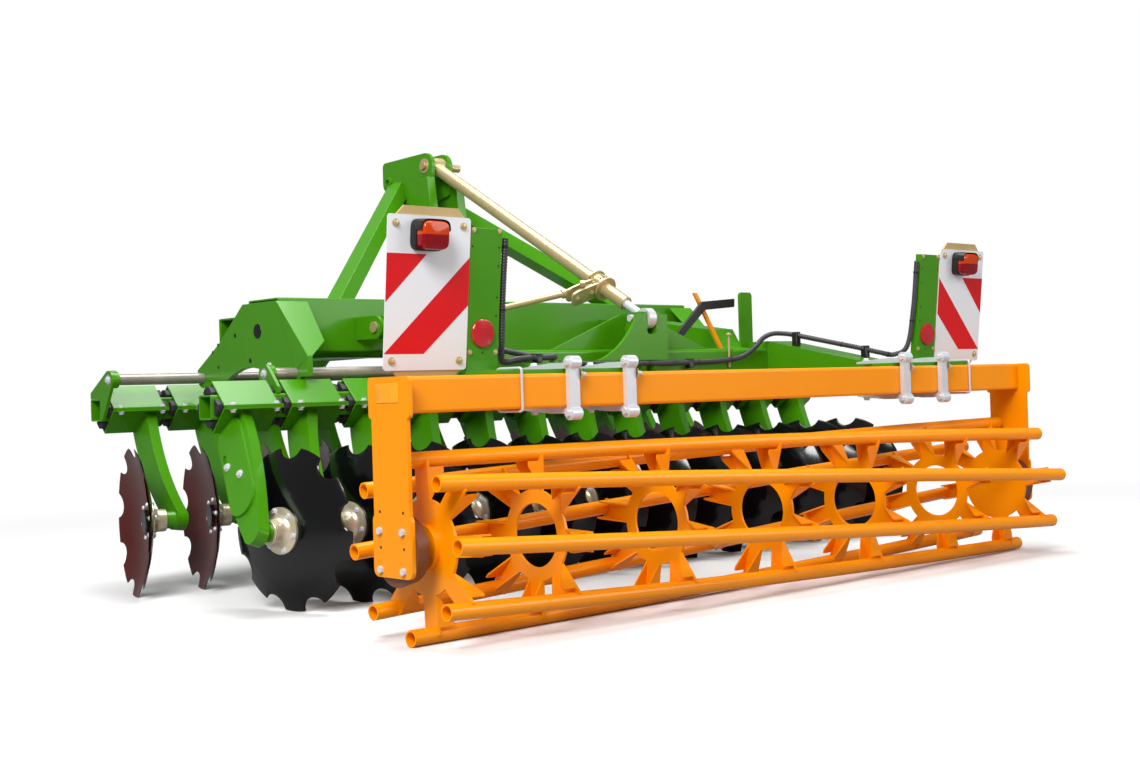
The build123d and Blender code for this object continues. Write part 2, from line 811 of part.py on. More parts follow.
# Roller frame: a cross tube with a pair of tapered arms behind it and a pair ahead of it
front_face = cross_tube_ahead + cross_tube_side / 2
tube_face = cross_tube_ahead - cross_tube_side / 2
tube_low = cross_tube_height - cross_tube_side / 2
tube_top = cross_tube_height + cross_tube_side / 2
arm_rear = roller_beam_side / 2 + seat_gap
beam_top = roller_beam_height + roller_beam_side / 2
beam_base = roller_beam_height - roller_beam_side / 2
rear_arm_outline = (
    (arm_rear, beam_base + 4), (arm_rear, beam_top), (arm_rear + 66, beam_top + 16),
    (tube_face, tube_top + 26), (front_face + 12, tube_top + 26), (front_face + 12, tube_low),
    (tube_face - 20, tube_low), (arm_rear + 90, beam_base + 4),
)
fore_arm_outline = (
    (tube_face + 8, tube_low + 8), (tube_face + 8, tube_top - 8), (front_face, tube_top + 8),
    (front_face + 44, tube_top + 78), (pivot_ahead, pivot_height + pivot_eye_radius),
    (pivot_ahead, pivot_height - pivot_eye_radius), (front_face + 60, tube_low),
)
with BuildPart() as link_frame:
    with BuildSketch(side_plane(x_frame - link_arm_spread, y_roller + cross_tube_ahead,
                                cross_tube_height)):
        RectangleRounded(cross_tube_side, cross_tube_side, 14)
    extrude(amount=2 * link_arm_spread)
    for outline, spread, width in (
        (rear_arm_outline, link_arm_spread, link_arm_width),
        (fore_arm_outline, fore_arm_spread, fore_arm_width),
    ):
        for sign in (-1, 1):
            arm_side = side_plane(x_frame + sign * spread - width / 2, y_roller)
            with BuildSketch(arm_side):
                with BuildLine():
                    Polyline(*outline, close=True)
                make_face()
            extrude(amount=width)
            with BuildSketch(arm_side.offset(link_wall)):
                with BuildLine():
                    Polyline(*outline, close=True)
                make_face()
                offset(amount=-link_wall, mode=Mode.REPLACE)
            extrude(amount=width - 2 * link_wall, mode=Mode.SUBTRACT)
    for sign in (-1, 1):
        eye_plane = side_plane(x_frame + sign * fore_arm_spread - fore_arm_width / 2,
                               y_roller + pivot_ahead, pivot_height)
        with BuildSketch(eye_plane):
            Circle(pivot_eye_radius)
        extrude(amount=fore_arm_width)
        with BuildSketch(eye_plane):
            Circle(pivot_pin_radius + running_gap)
        extrude(amount=fore_arm_width, mode=Mode.SUBTRACT)
        x_mid = x_frame + sign * link_arm_spread
        with BuildSketch(side_plane(x_mid - clamp_spread - clamp_width / 2,
                                    y_roller + arm_rear + clamp_foot / 2,
                                    roller_beam_height)):
            Rectangle(clamp_foot, roller_beam_side)
        extrude(amount=2 * clamp_spread + clamp_width)
    with BuildSketch(Plane(origin=(x_frame + stop_plate_place, y_roller + front_face, 0),
                           x_dir=(1, 0, 0), z_dir=(0, -1, 0))):
        with Locations((0, (stop_plate_top + tube_low) / 2)):
            RectangleRounded(stop_plate_width, stop_plate_top - tube_low, 14)
    extrude(amount=-stop_plate)
save(link_frame.part, "link_frame")

# Bracket for the spindle's eye: a notched rear plate, two webs and a wide gusset
bracket_face = y_roller + spindle_foot_ahead
web = spindle_eye_width / 2 + 5
with BuildPart() as foot_bracket:
    for sign in (-1, 1):
        x_low = x_frame + sign * web + (0 if sign > 0 else -web_plate)
        with BuildSketch(side_plane(x_low, y_roller)):
            with BuildLine():
                Polyline(
                    (tube_face, cross_tube_height - 40),
                    (tube_face, tube_top),
                    (tube_face + 62, tube_top),
                    (spindle_foot_ahead + 40, spindle_foot_height + 22),
                    (spindle_foot_ahead - 26, spindle_foot_height + 22),
                    (spindle_foot_ahead - 26, spindle_foot_height - 40),
                    (spindle_foot_ahead - 14, cross_tube_height - 40),
                    close=True,
                )
            make_face()
            with Locations((spindle_foot_ahead, spindle_foot_height)):
                Circle(eye_boss_radius)
                Circle(spindle_pin_radius + seat_gap, mode=Mode.SUBTRACT)
        extrude(amount=web_plate)
    rear_plate = Plane(origin=(x_frame, bracket_face - 14, 0), x_dir=(1, 0, 0),
                       z_dir=(0, -1, 0))
    plate_top = spindle_foot_height + 14
    plate_low = cross_tube_height + 6
    with BuildSketch(rear_plate):
        with BuildLine():
            edge = ThreePointArc((-262, plate_low), (-150, plate_low + 58), (-78, plate_top - 20))
            Polyline(edge @ 1, (-75, plate_top), (-28, plate_top),
                     (-28, plate_top - 56), (-16, plate_top - 70), (16, plate_top - 70),
                     (28, plate_top - 56), (28, plate_top), (77, plate_top),
                     (77, plate_low), edge @ 0)
        make_face()
    extrude(amount=12)
    with BuildSketch(Plane(origin=(x_frame, y_roller + cross_tube_ahead - 38, 0),
                           x_dir=(1, 0, 0), z_dir=(0, -1, 0))):
        with BuildLine():
            Polyline((-380, tube_top), (-58, spindle_foot_height + 16),
                     (58, spindle_foot_height + 16), (380, tube_top), close=True)
        make_face()
        with Locations((0, spindle_foot_height)):
            Rectangle(2 * web, 2 * spindle_eye_radius + 40, mode=Mode.SUBTRACT)
    extrude(amount=-10)
save(foot_bracket.part, "spindle_bracket")

with BuildPart() as pin:
    with BuildSketch(side_plane(x_frame - foot_pin_length / 2, bracket_face,
                                spindle_foot_height)):
        Circle(spindle_pin_radius)
    extrude(amount=foot_pin_length)
save(pin.part, "spindle_foot_pin")

# Levers on the cross tube: a bent black bar and a straight orange one
levers = []
with BuildPart() as lever:
    with BuildSketch(Plane(origin=(x_frame, y_roller + cross_tube_ahead, 0), x_dir=(1, 0, 0),
                           z_dir=(0, -1, 0))):
        with BuildLine():
            Polyline((190, tube_top + seat_gap), (232, tube_top + seat_gap),
                     (410, 945), (572, 958), (574, 990), (394, 976), close=True)
        make_face()
    extrude(amount=lever_plate)
levers.append(lever.part)
with BuildPart() as lever:
    with BuildSketch(Plane(origin=(x_frame, y_roller + cross_tube_ahead + 22, 0),
                           x_dir=(1, 0, 0), z_dir=(0, -1, 0))):
        with BuildLine():
            Polyline((508, tube_top + seat_gap), (530, tube_top + seat_gap),
                     (392, 1010), (372, 1010), close=True)
        make_face()
    extrude(amount=lever_plate)
levers.append(lever.part)
save(Compound(children=levers), "depth_levers")

with BuildPart() as roller_beam:
    with BuildSketch(side_plane(x_roller - side_arm_inner, y_roller, roller_beam_height)):
        RectangleRounded(roller_beam_side, roller_beam_side, 10)
        RectangleRounded(roller_beam_side - 2 * roller_beam_wall,
                         roller_beam_side - 2 * roller_beam_wall, 5, mode=Mode.SUBTRACT)
    extrude(amount=2 * side_arm_inner)
save(roller_beam.part, "roller_beam")

# Side arms that hang from the beam's ends, with the roller's bearings inside them
side_arms, bearings = [], []
for sign in (-1, 1):
    x_low = x_roller + min(sign * side_arm_inner, sign * (side_arm_inner + side_arm_plate))
    with BuildPart() as side_arm:
        with BuildSketch(side_plane(x_low, y_roller)):
            for half, top, base, corner in (
                (side_arm_head_half, beam_top, side_arm_neck, 12),
                (side_arm_half, side_arm_neck + 30, side_arm_ankle - 20, 12),
                (side_arm_foot_half, side_arm_ankle, side_arm_base, 22),
            ):
                with Locations((0, (top + base) / 2)):
                    RectangleRounded(2 * half, top - base, corner)
        extrude(amount=side_arm_plate)
    side_arms.append(side_arm.part)
    housing_plane = Plane(origin=(x_roller + sign * (side_arm_inner - seat_gap), y_roller,
                                  roller_radius), z_dir=(-sign, 0, 0))
    with BuildPart() as bearing:
        with BuildSketch(housing_plane):
            Circle(bearing_radius)
        extrude(amount=bearing_depth, taper=12)
        with BuildSketch(housing_plane.offset(bearing_depth)):
            Circle(bearing_neck_radius)
        extrude(amount=bearing_neck)
        with BuildSketch(housing_plane):
            Circle(stub_radius + running_gap)
        extrude(amount=bearing_depth + bearing_neck, mode=Mode.SUBTRACT)
    bearings.append(bearing.part)
    outer_face = Plane(
        origin=(x_roller + sign * (side_arm_inner + side_arm_plate), y_roller, roller_radius),
        z_dir=(sign, 0, 0))
    with BuildPart() as bolts:
        with BuildSketch(outer_face):
            with GridLocations(bearing_bolt_spread, bearing_bolt_spread, 2, 2):
                RegularPolygon(bearing_bolt_radius, 6)
        extrude(amount=bearing_bolt_head)
    bearings.append(bolts.part)
save(Compound(children=side_arms), "side_arms")
save(Compound(children=bearings), "roller_bearings")

# Clamps round the roller beam: a rear bar, wedge-shaped legs and an ear at each corner
clamps = []
clamp_low = roller_beam_side / 2 + seat_gap
clamp_high = clamp_low + foot_bar + seat_gap
for sign in (-1, 1):
    for shift in (-1, 1):
        x_low = x_frame + sign * link_arm_spread + shift * clamp_spread - clamp_width / 2
        with BuildPart() as clamp:
            with BuildSketch(side_plane(x_low, y_roller, roller_beam_height)):
                rear = -clamp_low - clamp_bar
                with BuildLine():
                    Polyline(
                        (rear, -clamp_low - clamp_bar),
                        (rear, clamp_high + clamp_bar),
                        (clamp_ear_radius, clamp_high + clamp_bar),
                        (clamp_reach, clamp_high + clamp_tip),
                        (clamp_reach, -clamp_low - clamp_tip),
                        (clamp_ear_radius, -clamp_low - clamp_bar),
                        close=True,
                    )
                make_face()
                with Locations((rear + clamp_tip, clamp_high + clamp_bar),
                               (rear + clamp_tip, -clamp_low - clamp_bar)):
                    Circle(clamp_ear_radius)
                with Locations((-clamp_low, -clamp_low)):
                    Rectangle(2 * clamp_reach, clamp_low + clamp_high,
                              align=(Align.MIN, Align.MIN), mode=Mode.SUBTRACT)
            extrude(amount=clamp_width)
        clamps.append(clamp.part)
save(Compound(children=clamps), "beam_clamps")

# Tube roller: helical tubes on pressed stars, and a stub axle at each end. The edges of
# each star's arms are folded over along the axle, wider towards the tube.
star_shapes = {}
for place, fold in stars:
    end = abs(place) == stub_place
    if (fold, end) in star_shapes:
        continue
    with BuildPart() as star:
        with BuildSketch(side_plane(-star_plate / 2)):
            Circle(star_ring_radius)
            with PolarLocations((star_ring_radius + tube_circle - 8) / 2, roller_tube_count):
                Rectangle(tube_circle - tube_radius - star_ring_radius + 30, star_arm_width)
            if not end:
                Circle(star_hole_radius, mode=Mode.SUBTRACT)
        extrude(amount=star_plate)
        for k in range(roller_tube_count):
            turn = 2 * radians(180) * k / roller_tube_count
            for edge in (-1, 1):
                tangent = Vector(0, -sin(turn), cos(turn)) * edge
                with BuildSketch(Plane(origin=tangent * (star_arm_width / 2),
                                       x_dir=(0, cos(turn), sin(turn)), z_dir=tangent)):
                    with BuildLine():
                        Polyline(
                            (star_ring_radius - 10, 0),
                            (star_flange_end, 0),
                            (star_flange_end, -edge * fold * star_flange),
                            (star_flange_end - 14, -edge * fold * star_flange),
                            close=True,
                        )
                    make_face()
                extrude(amount=-star_flange_plate)
        if end:
            out = Plane(origin=(0, 0, 0), z_dir=(-fold, 0, 0))
            with BuildSketch(out):
                Circle(star_boss_radius)
            extrude(amount=star_boss_depth)
            with BuildSketch(out):
                Circle(stub_radius)
            extrude(amount=stub_length)
    star_shapes[(fold, end)] = star.part

pitch = 2 * roller_half_length * 360 / roller_twist
with BuildPart() as roller:
    for k in range(roller_tube_count):
        start = radians(roller_first_angle - 360 / roller_tube_count * k)
        end_plane = Plane(
            origin=(x_roller - roller_half_length, y_roller, roller_radius),
            x_dir=(0, cos(start), sin(start)), z_dir=(1, 0, 0))
        with BuildLine() as route:
            Helix(pitch, 2 * roller_half_length, tube_circle)
        path = route.line.moved(end_plane.location)
        with BuildSketch(Plane(origin=path @ 0, z_dir=path % 0)):
            Circle(tube_radius)
            Circle(tube_radius - roller_tube_wall, mode=Mode.SUBTRACT)
        sweep(path=path)
    for place, fold in stars:
        turn = roller_first_angle + roller_twist * (place + roller_half_length) / (
            2 * roller_half_length)
        shape = star_shapes[(fold, abs(place) == stub_place)]
        add(shape.moved(Location((x_roller + place, y_roller, roller_radius), (turn, 0, 0))))
save(roller.part, "roller_cage")

# Depth spindle: barrel hung on the tower's pin, threaded rod with its lower eye. The eye
# is wider than its pin by what the two strokes differ over the roller frame's travel.
head_point = Vector(x_frame, y_roller + tower_pin_ahead, tower_pin_height)
foot_point = Vector(x_frame, y_roller + spindle_foot_ahead, spindle_foot_height)
reach = (foot_point - head_point).length
along = Plane(origin=head_point, x_dir=(1, 0, 0), z_dir=foot_point - head_point)
rod_start = reach * 0.55
barrel_end = reach - spindle_rod_showing
to_head = Vector(0, tower_pin_ahead - pivot_ahead, tower_pin_height - pivot_height)
to_foot = Vector(0, spindle_foot_ahead - pivot_ahead, spindle_foot_height - pivot_height)
foot_travel = Vector(0, -to_foot.Z, to_foot.Y)
down = (to_foot - to_head).normalized()
stroke_rate = foot_travel.dot(down)
swing_rate = foot_travel.dot(Vector(0, -down.Z, down.Y)) / reach
spindle_eye_play = 0
for lift in (-radians(lift_limit), radians(lift_limit)):
    true_foot = to_foot.rotate(Axis.X, degrees(lift))
    swung = down.rotate(Axis.X, degrees(lift * swing_rate))
    held_foot = to_head + swung * (reach + stroke_rate * lift)
    spindle_eye_play = max(spindle_eye_play, (true_foot - held_foot).length + running_gap)
eye_width = 2 * tower_plate_inner - 4
with BuildPart() as barrel:
    with BuildSketch(side_plane(x_frame - eye_width / 2, head_point.Y, head_point.Z)):
        Circle(spindle_eye_radius)
        Circle(tower_pin_radius + running_gap, mode=Mode.SUBTRACT)
    extrude(amount=eye_width)
    with BuildSketch(along.offset(spindle_eye_radius - 6)):
        Circle(barrel_radius)
    extrude(amount=barrel_end - spindle_eye_radius + 6)
    with BuildSketch(along.offset(ratchet_place)):
        Circle(ratchet_radius)
    extrude(amount=ratchet_length)
    lever_plane = Plane(
        origin=along.origin + along.z_dir * (ratchet_place + ratchet_length / 2),
        z_dir=lever_way)
    for radius, length in (
        (lever_socket_radius, lever_socket_length),
        (lever_radius, lever_length),
    ):
        with BuildSketch(lever_plane):
            Circle(radius)
        extrude(amount=length)
    with BuildSketch(along.offset(rod_start - 60)):
        Circle(spindle_rod_radius + running_gap)
    extrude(amount=reach, mode=Mode.SUBTRACT)
save(barrel.part, "spindle_barrel")

with BuildPart() as spindle_rod:
    with BuildSketch(along.offset(rod_start)):
        Circle(spindle_rod_radius)
    extrude(amount=reach - rod_start - spindle_eye_radius + 6)
    with BuildSketch(side_plane(x_frame - spindle_eye_width / 2, foot_point.Y,
                                foot_point.Z)):
        Circle(spindle_eye_radius)
    extrude(amount=spindle_eye_width)
    with BuildSketch(side_plane(x_frame - spindle_eye_width / 2, foot_point.Y,
                                foot_point.Z)):
        Circle(spindle_pin_radius + spindle_eye_play)
    extrude(amount=spindle_eye_width, mode=Mode.SUBTRACT)
save(spindle_rod.part, "spindle_rod")

# Warning boards with their lamps, on posts that lean back from the roller beam
lean_up = Vector(0, -sin(radians(board_lean)), cos(radians(board_lean)))
boards, backings, posts, lamps = [], [], [], []
for x_board, x_post, bar in (
    (board_left_edge, board_left_edge + board_width + 4, foot_bars[0]),
    (board_right_edge, board_right_edge - post_width - 4, foot_bars[1]),
):
    face = Plane(origin=(x_roller + x_board, y_roller + board_ahead, board_foot),
                 x_dir=(1, 0, 0), z_dir=lean_up.cross(Vector(1, 0, 0)) * -1)
    with BuildPart() as board:
        with BuildSketch(face):
            with Locations((board_width / 2, board_height / 2)):
                RectangleRounded(board_width, board_height, 10)
        extrude(amount=board_plate)
    if x_post > x_board:
        near, far = backing_inset, x_post - x_board - seat_gap
    else:
        near, far = x_post + post_width - x_board + seat_gap, board_width - backing_inset
    low, high, cut = -backing_overhang, board_height + backing_overhang, backing_chamfer
    with BuildPart() as backing:
        with BuildSketch(face.offset(-seat_gap)):
            with BuildLine():
                Polyline(
                    (near, low + cut), (near + cut, low), (far - cut, low), (far, low + cut),
                    (far, high - cut), (far - cut, high), (near + cut, high),
                    (near, high - cut), close=True,
                )
            make_face()
        extrude(amount=-backing_plate)
    with BuildPart() as lamp:
        for depth, shrink, start in ((lamp_base, 0, 0), (lamp_lens, 8, lamp_base)):
            with BuildSketch(face.offset(board_plate + seat_gap + start)):
                with Locations((board_width / 2, board_height - lamp_below_top)):
                    RectangleRounded(lamp_width - shrink, lamp_height - shrink, 16)
            extrude(amount=depth)
    boards.append(board.part)
    backings.append(backing.part)
    lamps.append(lamp.part)
    post_face = Plane(
        origin=(x_roller + x_post, y_roller + board_ahead, beam_top + foot_bar + 2 * seat_gap),
        x_dir=(1, 0, 0), z_dir=face.z_dir)
    with BuildPart() as post:
        with BuildSketch(post_face):
            with Locations((post_width / 2, post_height / 2)):
                Rectangle(post_width, post_height)
        extrude(amount=-post_depth)
        with BuildSketch(post_face.offset(-post_plate)):
            with Locations((post_width / 2, post_height / 2)):
                Rectangle(post_width - 2 * post_plate, post_height + post_depth)
        extrude(amount=-post_depth, mode=Mode.SUBTRACT)
    posts.append(post.part)
    left, right = bar
    half = roller_beam_side / 2
    with BuildPart() as foot:
        with BuildSketch(Plane(origin=(x_roller, y_roller, beam_top + seat_gap))):
            with Locations((left, 12 - half)):
                Rectangle(right - left, 2 * half - 12, align=(Align.MIN, Align.MIN))
            with Locations((x_post + post_width / 2, 12 - half)):
                Rectangle(post_width, board_ahead + post_depth + half,
                          align=(Align.CENTER, Align.MIN))
        extrude(amount=foot_bar)
    posts.append(foot.part)
save(Compound(children=boards), "warning_boards")
save(Compound(children=backings), "board_backings")
save(Compound(children=lamps), "board_lamps")
save(Compound(children=posts), "board_posts")

# Wiring conduit: from post to post over the roller frame, with a branch up the left arm
with BuildPart() as conduit:
    for run in (conduit_run, conduit_branch):
        with BuildLine() as route:
            Spline(*[(x_roller + x, y_roller + y, z) for x, y, z in run])
        with BuildSketch(Plane(origin=route.line @ 0, z_dir=route.line % 0)):
            Circle(conduit_radius)
        sweep(path=route.line)
save(conduit.part, "wiring_conduit")
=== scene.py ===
import json
from math import cos, pi, radians, sin

import bpy
import numpy as np
from mathutils import Matrix, Vector


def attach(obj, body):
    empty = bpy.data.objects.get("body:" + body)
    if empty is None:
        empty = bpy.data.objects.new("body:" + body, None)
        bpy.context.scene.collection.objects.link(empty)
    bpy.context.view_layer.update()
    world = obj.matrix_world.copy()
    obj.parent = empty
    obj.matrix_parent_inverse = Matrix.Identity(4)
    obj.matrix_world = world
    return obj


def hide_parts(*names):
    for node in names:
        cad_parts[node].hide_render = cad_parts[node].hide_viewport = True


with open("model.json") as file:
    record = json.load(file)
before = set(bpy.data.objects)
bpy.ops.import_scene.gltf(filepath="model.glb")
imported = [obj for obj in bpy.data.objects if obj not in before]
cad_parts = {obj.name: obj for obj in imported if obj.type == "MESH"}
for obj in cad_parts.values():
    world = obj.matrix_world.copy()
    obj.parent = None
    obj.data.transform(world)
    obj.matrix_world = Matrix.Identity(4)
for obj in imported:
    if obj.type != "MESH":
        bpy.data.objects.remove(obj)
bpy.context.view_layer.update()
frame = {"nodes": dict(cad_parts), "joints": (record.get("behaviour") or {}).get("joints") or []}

# The part's frame has its origin under the middle of its box. Heights count from the floor,
# places along X and Y from the roller's axle, the frame's middle or the rows' first carrier.
X_ROLLER, Y_ROLLER = -0.094, -0.994
X_FRAME = X_ROLLER + 0.040
FRAME_FACE = 1.030  # half the width over the side plates
X_CARRIER = X_ROLLER - 1.229
PITCH, PER_ROW = 0.250, 12
BEAM_HEIGHT, ROD_HEIGHT = 0.640, 0.746
Y_BEAM = {"front": Y_ROLLER + 1.948, "rear": Y_ROLLER + 1.158}
Y_ROD = {"front": Y_BEAM["front"] - 0.105, "rear": Y_BEAM["rear"] + 0.045}
SIDE_ARM_FACE = 1.455  # half the width over the roller's side arms
HEAD_FACE = 0.052  # half the width over the tower's head
SPINDLE_HEAD = np.array((X_FRAME, Y_ROLLER + 1.750, 1.592))
SPINDLE_FOOT = np.array((X_FRAME, Y_ROLLER + 0.545, 0.905))
BOARD_LEAN = radians(6.0)
BOARD_FOOT = (Y_ROLLER + 0.112, 0.728)  # y and z of a board's lower edge
BOARD_WIDTH = 0.282
BOARD_EDGES = {"left": X_ROLLER - 1.392, "right": X_ROLLER + 1.128}
POST_MIDDLES = {"left": X_ROLLER - 1.050, "right": X_ROLLER + 1.068}
TURN = 2 * pi
NOTCHES = 9
LIFT = 0.0002  # thin marks lie this far over the face that carries them


# Materials

def linear(code):
    """Linear RGBA from an sRGB hex colour."""
    channels = [int(code[i:i + 2], 16) / 255 for i in (1, 3, 5)]
    return [c / 12.92 if c <= 0.04045 else ((c + 0.055) / 1.055) ** 2.4 for c in channels] + [1.0]


def add(tree, kind, **inputs):
    """A shader node with the named sockets set to a value or joined to another socket."""
    node = tree.nodes.new(kind)
    for name, value in inputs.items():
        key = name.replace("_", " ")
        if hasattr(node, name) and key not in node.inputs:
            setattr(node, name, value)
        elif isinstance(value, bpy.types.NodeSocket):
            tree.links.new(value, node.inputs[key])
        else:
            node.inputs[key].default_value = value
    return node


def finish_of(name, colour, roughness=0.4, metallic=0.0, coat=0.0, shade=None, grain=0.0,
              grain_size=300.0, mottle=6.0, specular=0.5):
    """A finish of one colour, mottled towards a second shade and grained by a fine bump."""
    material = bpy.data.materials.new(name)
    material.use_nodes = True
    tree = material.node_tree
    shader = tree.nodes["Principled BSDF"]
    shader.inputs["Base Color"].default_value = linear(colour)
    shader.inputs["Roughness"].default_value = roughness
    shader.inputs["Metallic"].default_value = metallic
    shader.inputs["Coat Weight"].default_value = coat
    shader.inputs["Coat Roughness"].default_value = 0.06
    shader.inputs["Specular IOR Level"].default_value = specular
    place = add(tree, "ShaderNodeTexCoord").outputs["Object"]
    if shade:
        noise = add(tree, "ShaderNodeTexNoise", Vector=place, Scale=mottle, Detail=3.0)
        mix = add(tree, "ShaderNodeMixRGB", Fac=noise.outputs["Fac"], Color1=linear(colour),
                  Color2=linear(shade))
        tree.links.new(mix.outputs["Color"], shader.inputs["Base Color"])
    if grain:
        noise = add(tree, "ShaderNodeTexNoise", Vector=place, Scale=grain_size, Detail=2.0)
        bump = add(tree, "ShaderNodeBump", Height=noise.outputs["Fac"], Strength=grain,
                   Distance=0.001)
        tree.links.new(bump.outputs["Normal"], shader.inputs["Normal"])
    return material


def split_by(material, axis, limit, second, outside=False):
    """A second colour past a limit along X, Y or Z, or past a distance from the roller's
    middle to either side."""
    tree = material.node_tree
    shader = tree.nodes["Principled BSDF"]
    parts = add(tree, "ShaderNodeSeparateXYZ",
                Vector=add(tree, "ShaderNodeTexCoord").outputs["Object"])
    value = parts.outputs[axis]
    if outside:
        moved = add(tree, "ShaderNodeMath", operation="SUBTRACT")
        tree.links.new(value, moved.inputs[0])
        moved.inputs[1].default_value = X_ROLLER
        size = add(tree, "ShaderNodeMath", operation="ABSOLUTE")
        tree.links.new(moved.outputs[0], size.inputs[0])
        value = size.outputs[0]
    past = add(tree, "ShaderNodeMath", operation="GREATER_THAN")
    tree.links.new(value, past.inputs[0])
    past.inputs[1].default_value = limit
    first = shader.inputs["Base Color"]
    mix = add(tree, "ShaderNodeMixRGB", Fac=past.outputs[0], Color1=tuple(first.default_value),
              Color2=linear(second))
    if first.is_linked:
        tree.links.new(first.links[0].from_socket, mix.inputs["Color1"])
    tree.links.new(mix.outputs["Color"], first)
    return material


# Glossy two-coat paint on the frame and carriers, with faint orange peel
GREEN = finish_of("green_enamel", "#48920c", 0.22, coat=0.05, shade="#428a08", grain=0.02,
                  specular=0.38)
# The roller and its arms have the same paint in orange
ORANGE = finish_of("orange_enamel", "#ff9c00", 0.24, coat=0.05, shade="#fc9500", grain=0.02,
                   specular=0.3)
# Dip-painted disc steel: black outside, and dark red over the whole inner face of the dish
BLACK = finish_of("black_enamel", "#060608", 0.15, coat=0.05, shade="#0a0a0d", grain=0.02)
DISH_INSIDE_RED = finish_of("dish_inner_red", "#4e0f08", 0.22, coat=0.05, shade="#5a160c", grain=0.02,
                   specular=0.3)
# Controls beside the tower: the near bar is black, the one behind it orange
BAR_BLACK = finish_of("bar_black", "#0b0b0c", 0.3, coat=0.1, specular=0.4)
split_by(BAR_BLACK, "Y", -0.333, "#ff9c00")
RUBBER = finish_of("rubber", "#26232b", 0.55, shade="#2e2a33", grain=0.15, grain_size=500.0)
# Steels: worn slide rods, yellow and silver zinc with the cloudy look of the plating
BARE = finish_of("ground_steel", "#c9c2b8", 0.3, metallic=0.45, shade="#8d857c", grain=0.05,
                 grain_size=700.0, mottle=14.0)
YELLOW_ZINC = finish_of("yellow_zinc", "#d8c69c", 0.36, metallic=0.55, shade="#c6af7a",
                        grain=0.01, grain_size=200.0, mottle=22.0)
HUB_ZINC = finish_of("hub_zinc", "#e6dcc6", 0.32, metallic=0.6, shade="#d8c8a6", grain=0.01,
                     grain_size=200.0, mottle=30.0)
SILVER_ZINC = finish_of("silver_zinc", "#e6e8ee", 0.34, metallic=0.3, shade="#d3d6dd",
                        grain=0.02, grain_size=160.0, mottle=26.0)
WHITE = finish_of("board_white", "#e9ecf2", 0.35, coat=0.1)
SIGN_RED = finish_of("board_red", "#d8040f", 0.35, coat=0.05, specular=0.3)
BEIGE = finish_of("backing_beige", "#cdb07a", 0.4, metallic=0.15, shade="#c2a46c", grain=0.03)
# Roller bearings: brown castings whose caps stand out past the side arms in silver
BROWN = finish_of("cast_brown", "#7a4a35", 0.42, metallic=0.1, coat=0.1, shade="#6a3d2a",
                  grain=0.2, grain_size=120.0)
split_by(BROWN, "X", SIDE_ARM_FACE + LIFT, "#d4d7dc", outside=True)
PLASTIC = finish_of("black_plastic", "#121214", 0.38)
REFLECTOR = finish_of("reflector_red", "#b8101a", 0.12, coat=0.6, shade="#d0202a", grain=0.3,
                      grain_size=260.0, mottle=120.0)
# Lamp glass: red below, amber above this height
LENS = finish_of("lamp_lens", "#860310", 0.12, coat=0.1, grain=0.2, grain_size=90.0,
                 specular=0.4)
split_by(LENS, "Z", 1.092, "#cc3e00")
CONDUIT_GREY = finish_of("conduit_grey", "#35313a", 0.42, specular=0.6)
# Holes are drawn as flat near-black spots: painted shade where a hole's inside would be dark
HOLE_SHADE = finish_of("painted_hole_shade", "#0a0d08", 0.8)
PLATE_ORANGE = finish_of("blank_plate", "#ffa81c", 0.25, coat=0.3)

LOOKS = {
    "frame_pins": YELLOW_ZINC, "spindle_foot_pin": SILVER_ZINC, "spindle_barrel": YELLOW_ZINC,
    "spindle_rod": SILVER_ZINC, "front_rubber_cords": RUBBER, "rear_rubber_cords": RUBBER,
    "front_slide_rod": BARE, "rear_slide_rod": BARE, "roller_beam": ORANGE, "side_arms": ORANGE,
    "roller_cage": ORANGE, "roller_bearings": BROWN, "beam_clamps": SILVER_ZINC,
    "warning_boards": WHITE, "board_backings": BEIGE, "board_lamps": PLASTIC,
    "wiring_conduit": PLASTIC, "depth_levers": BAR_BLACK,
}

# Rounded edges of the rolled and cut plate: width of the round for each node. Wide ones get
# three segments, and faces that meet at less than the angle stay as they are.
WIDE_ROUND, EDGE_ANGLE, SEAM = 0.0035, radians(32), 0.00002
ROUNDS = {
    "frame_plates": 0.002, "frame_cross_beams": 0.008, "tower_legs": 0.005, "tower_head": 0.003,
    "hitch_cheeks": 0.002, "pivot_lugs": 0.002, "front_carrier_caps": 0.0015,
    "rear_carrier_caps": 0.0015, "front_carrier_arms": 0.003, "rear_carrier_arms": 0.003,
    "front_rubber_cords": 0.008, "rear_rubber_cords": 0.008, "front_rod_brackets": 0.002,
    "rear_rod_brackets": 0.002, "edge_arm": 0.0025, "link_frame": 0.004,
    "spindle_bracket": 0.002, "side_arms": 0.002, "beam_clamps": 0.004, "board_posts": 0.0015,
    "depth_levers": 0.002, "front_slide_rod": 0.002, "rear_slide_rod": 0.002,
}
for name, node in frame["nodes"].items():
    look = BLACK if name.startswith("disc_") else LOOKS.get(name, GREEN)
    node.data.materials.clear()
    node.data.materials.append(look)
    if name in ROUNDS:
        weld = node.modifiers.new("weld", "WELD")
        weld.merge_threshold = SEAM
        bevel = node.modifiers.new("bevel", "BEVEL")
        bevel.width = ROUNDS[name]
        bevel.segments = 3 if ROUNDS[name] > WIDE_ROUND else 2
        bevel.limit_method = "ANGLE"
        bevel.angle_limit = EDGE_ANGLE
        bevel.use_clamp_overlap = True
        normals = node.modifiers.new("normals", "WEIGHTED_NORMAL")
        normals.keep_sharp = True


# Surfaces as grids of points

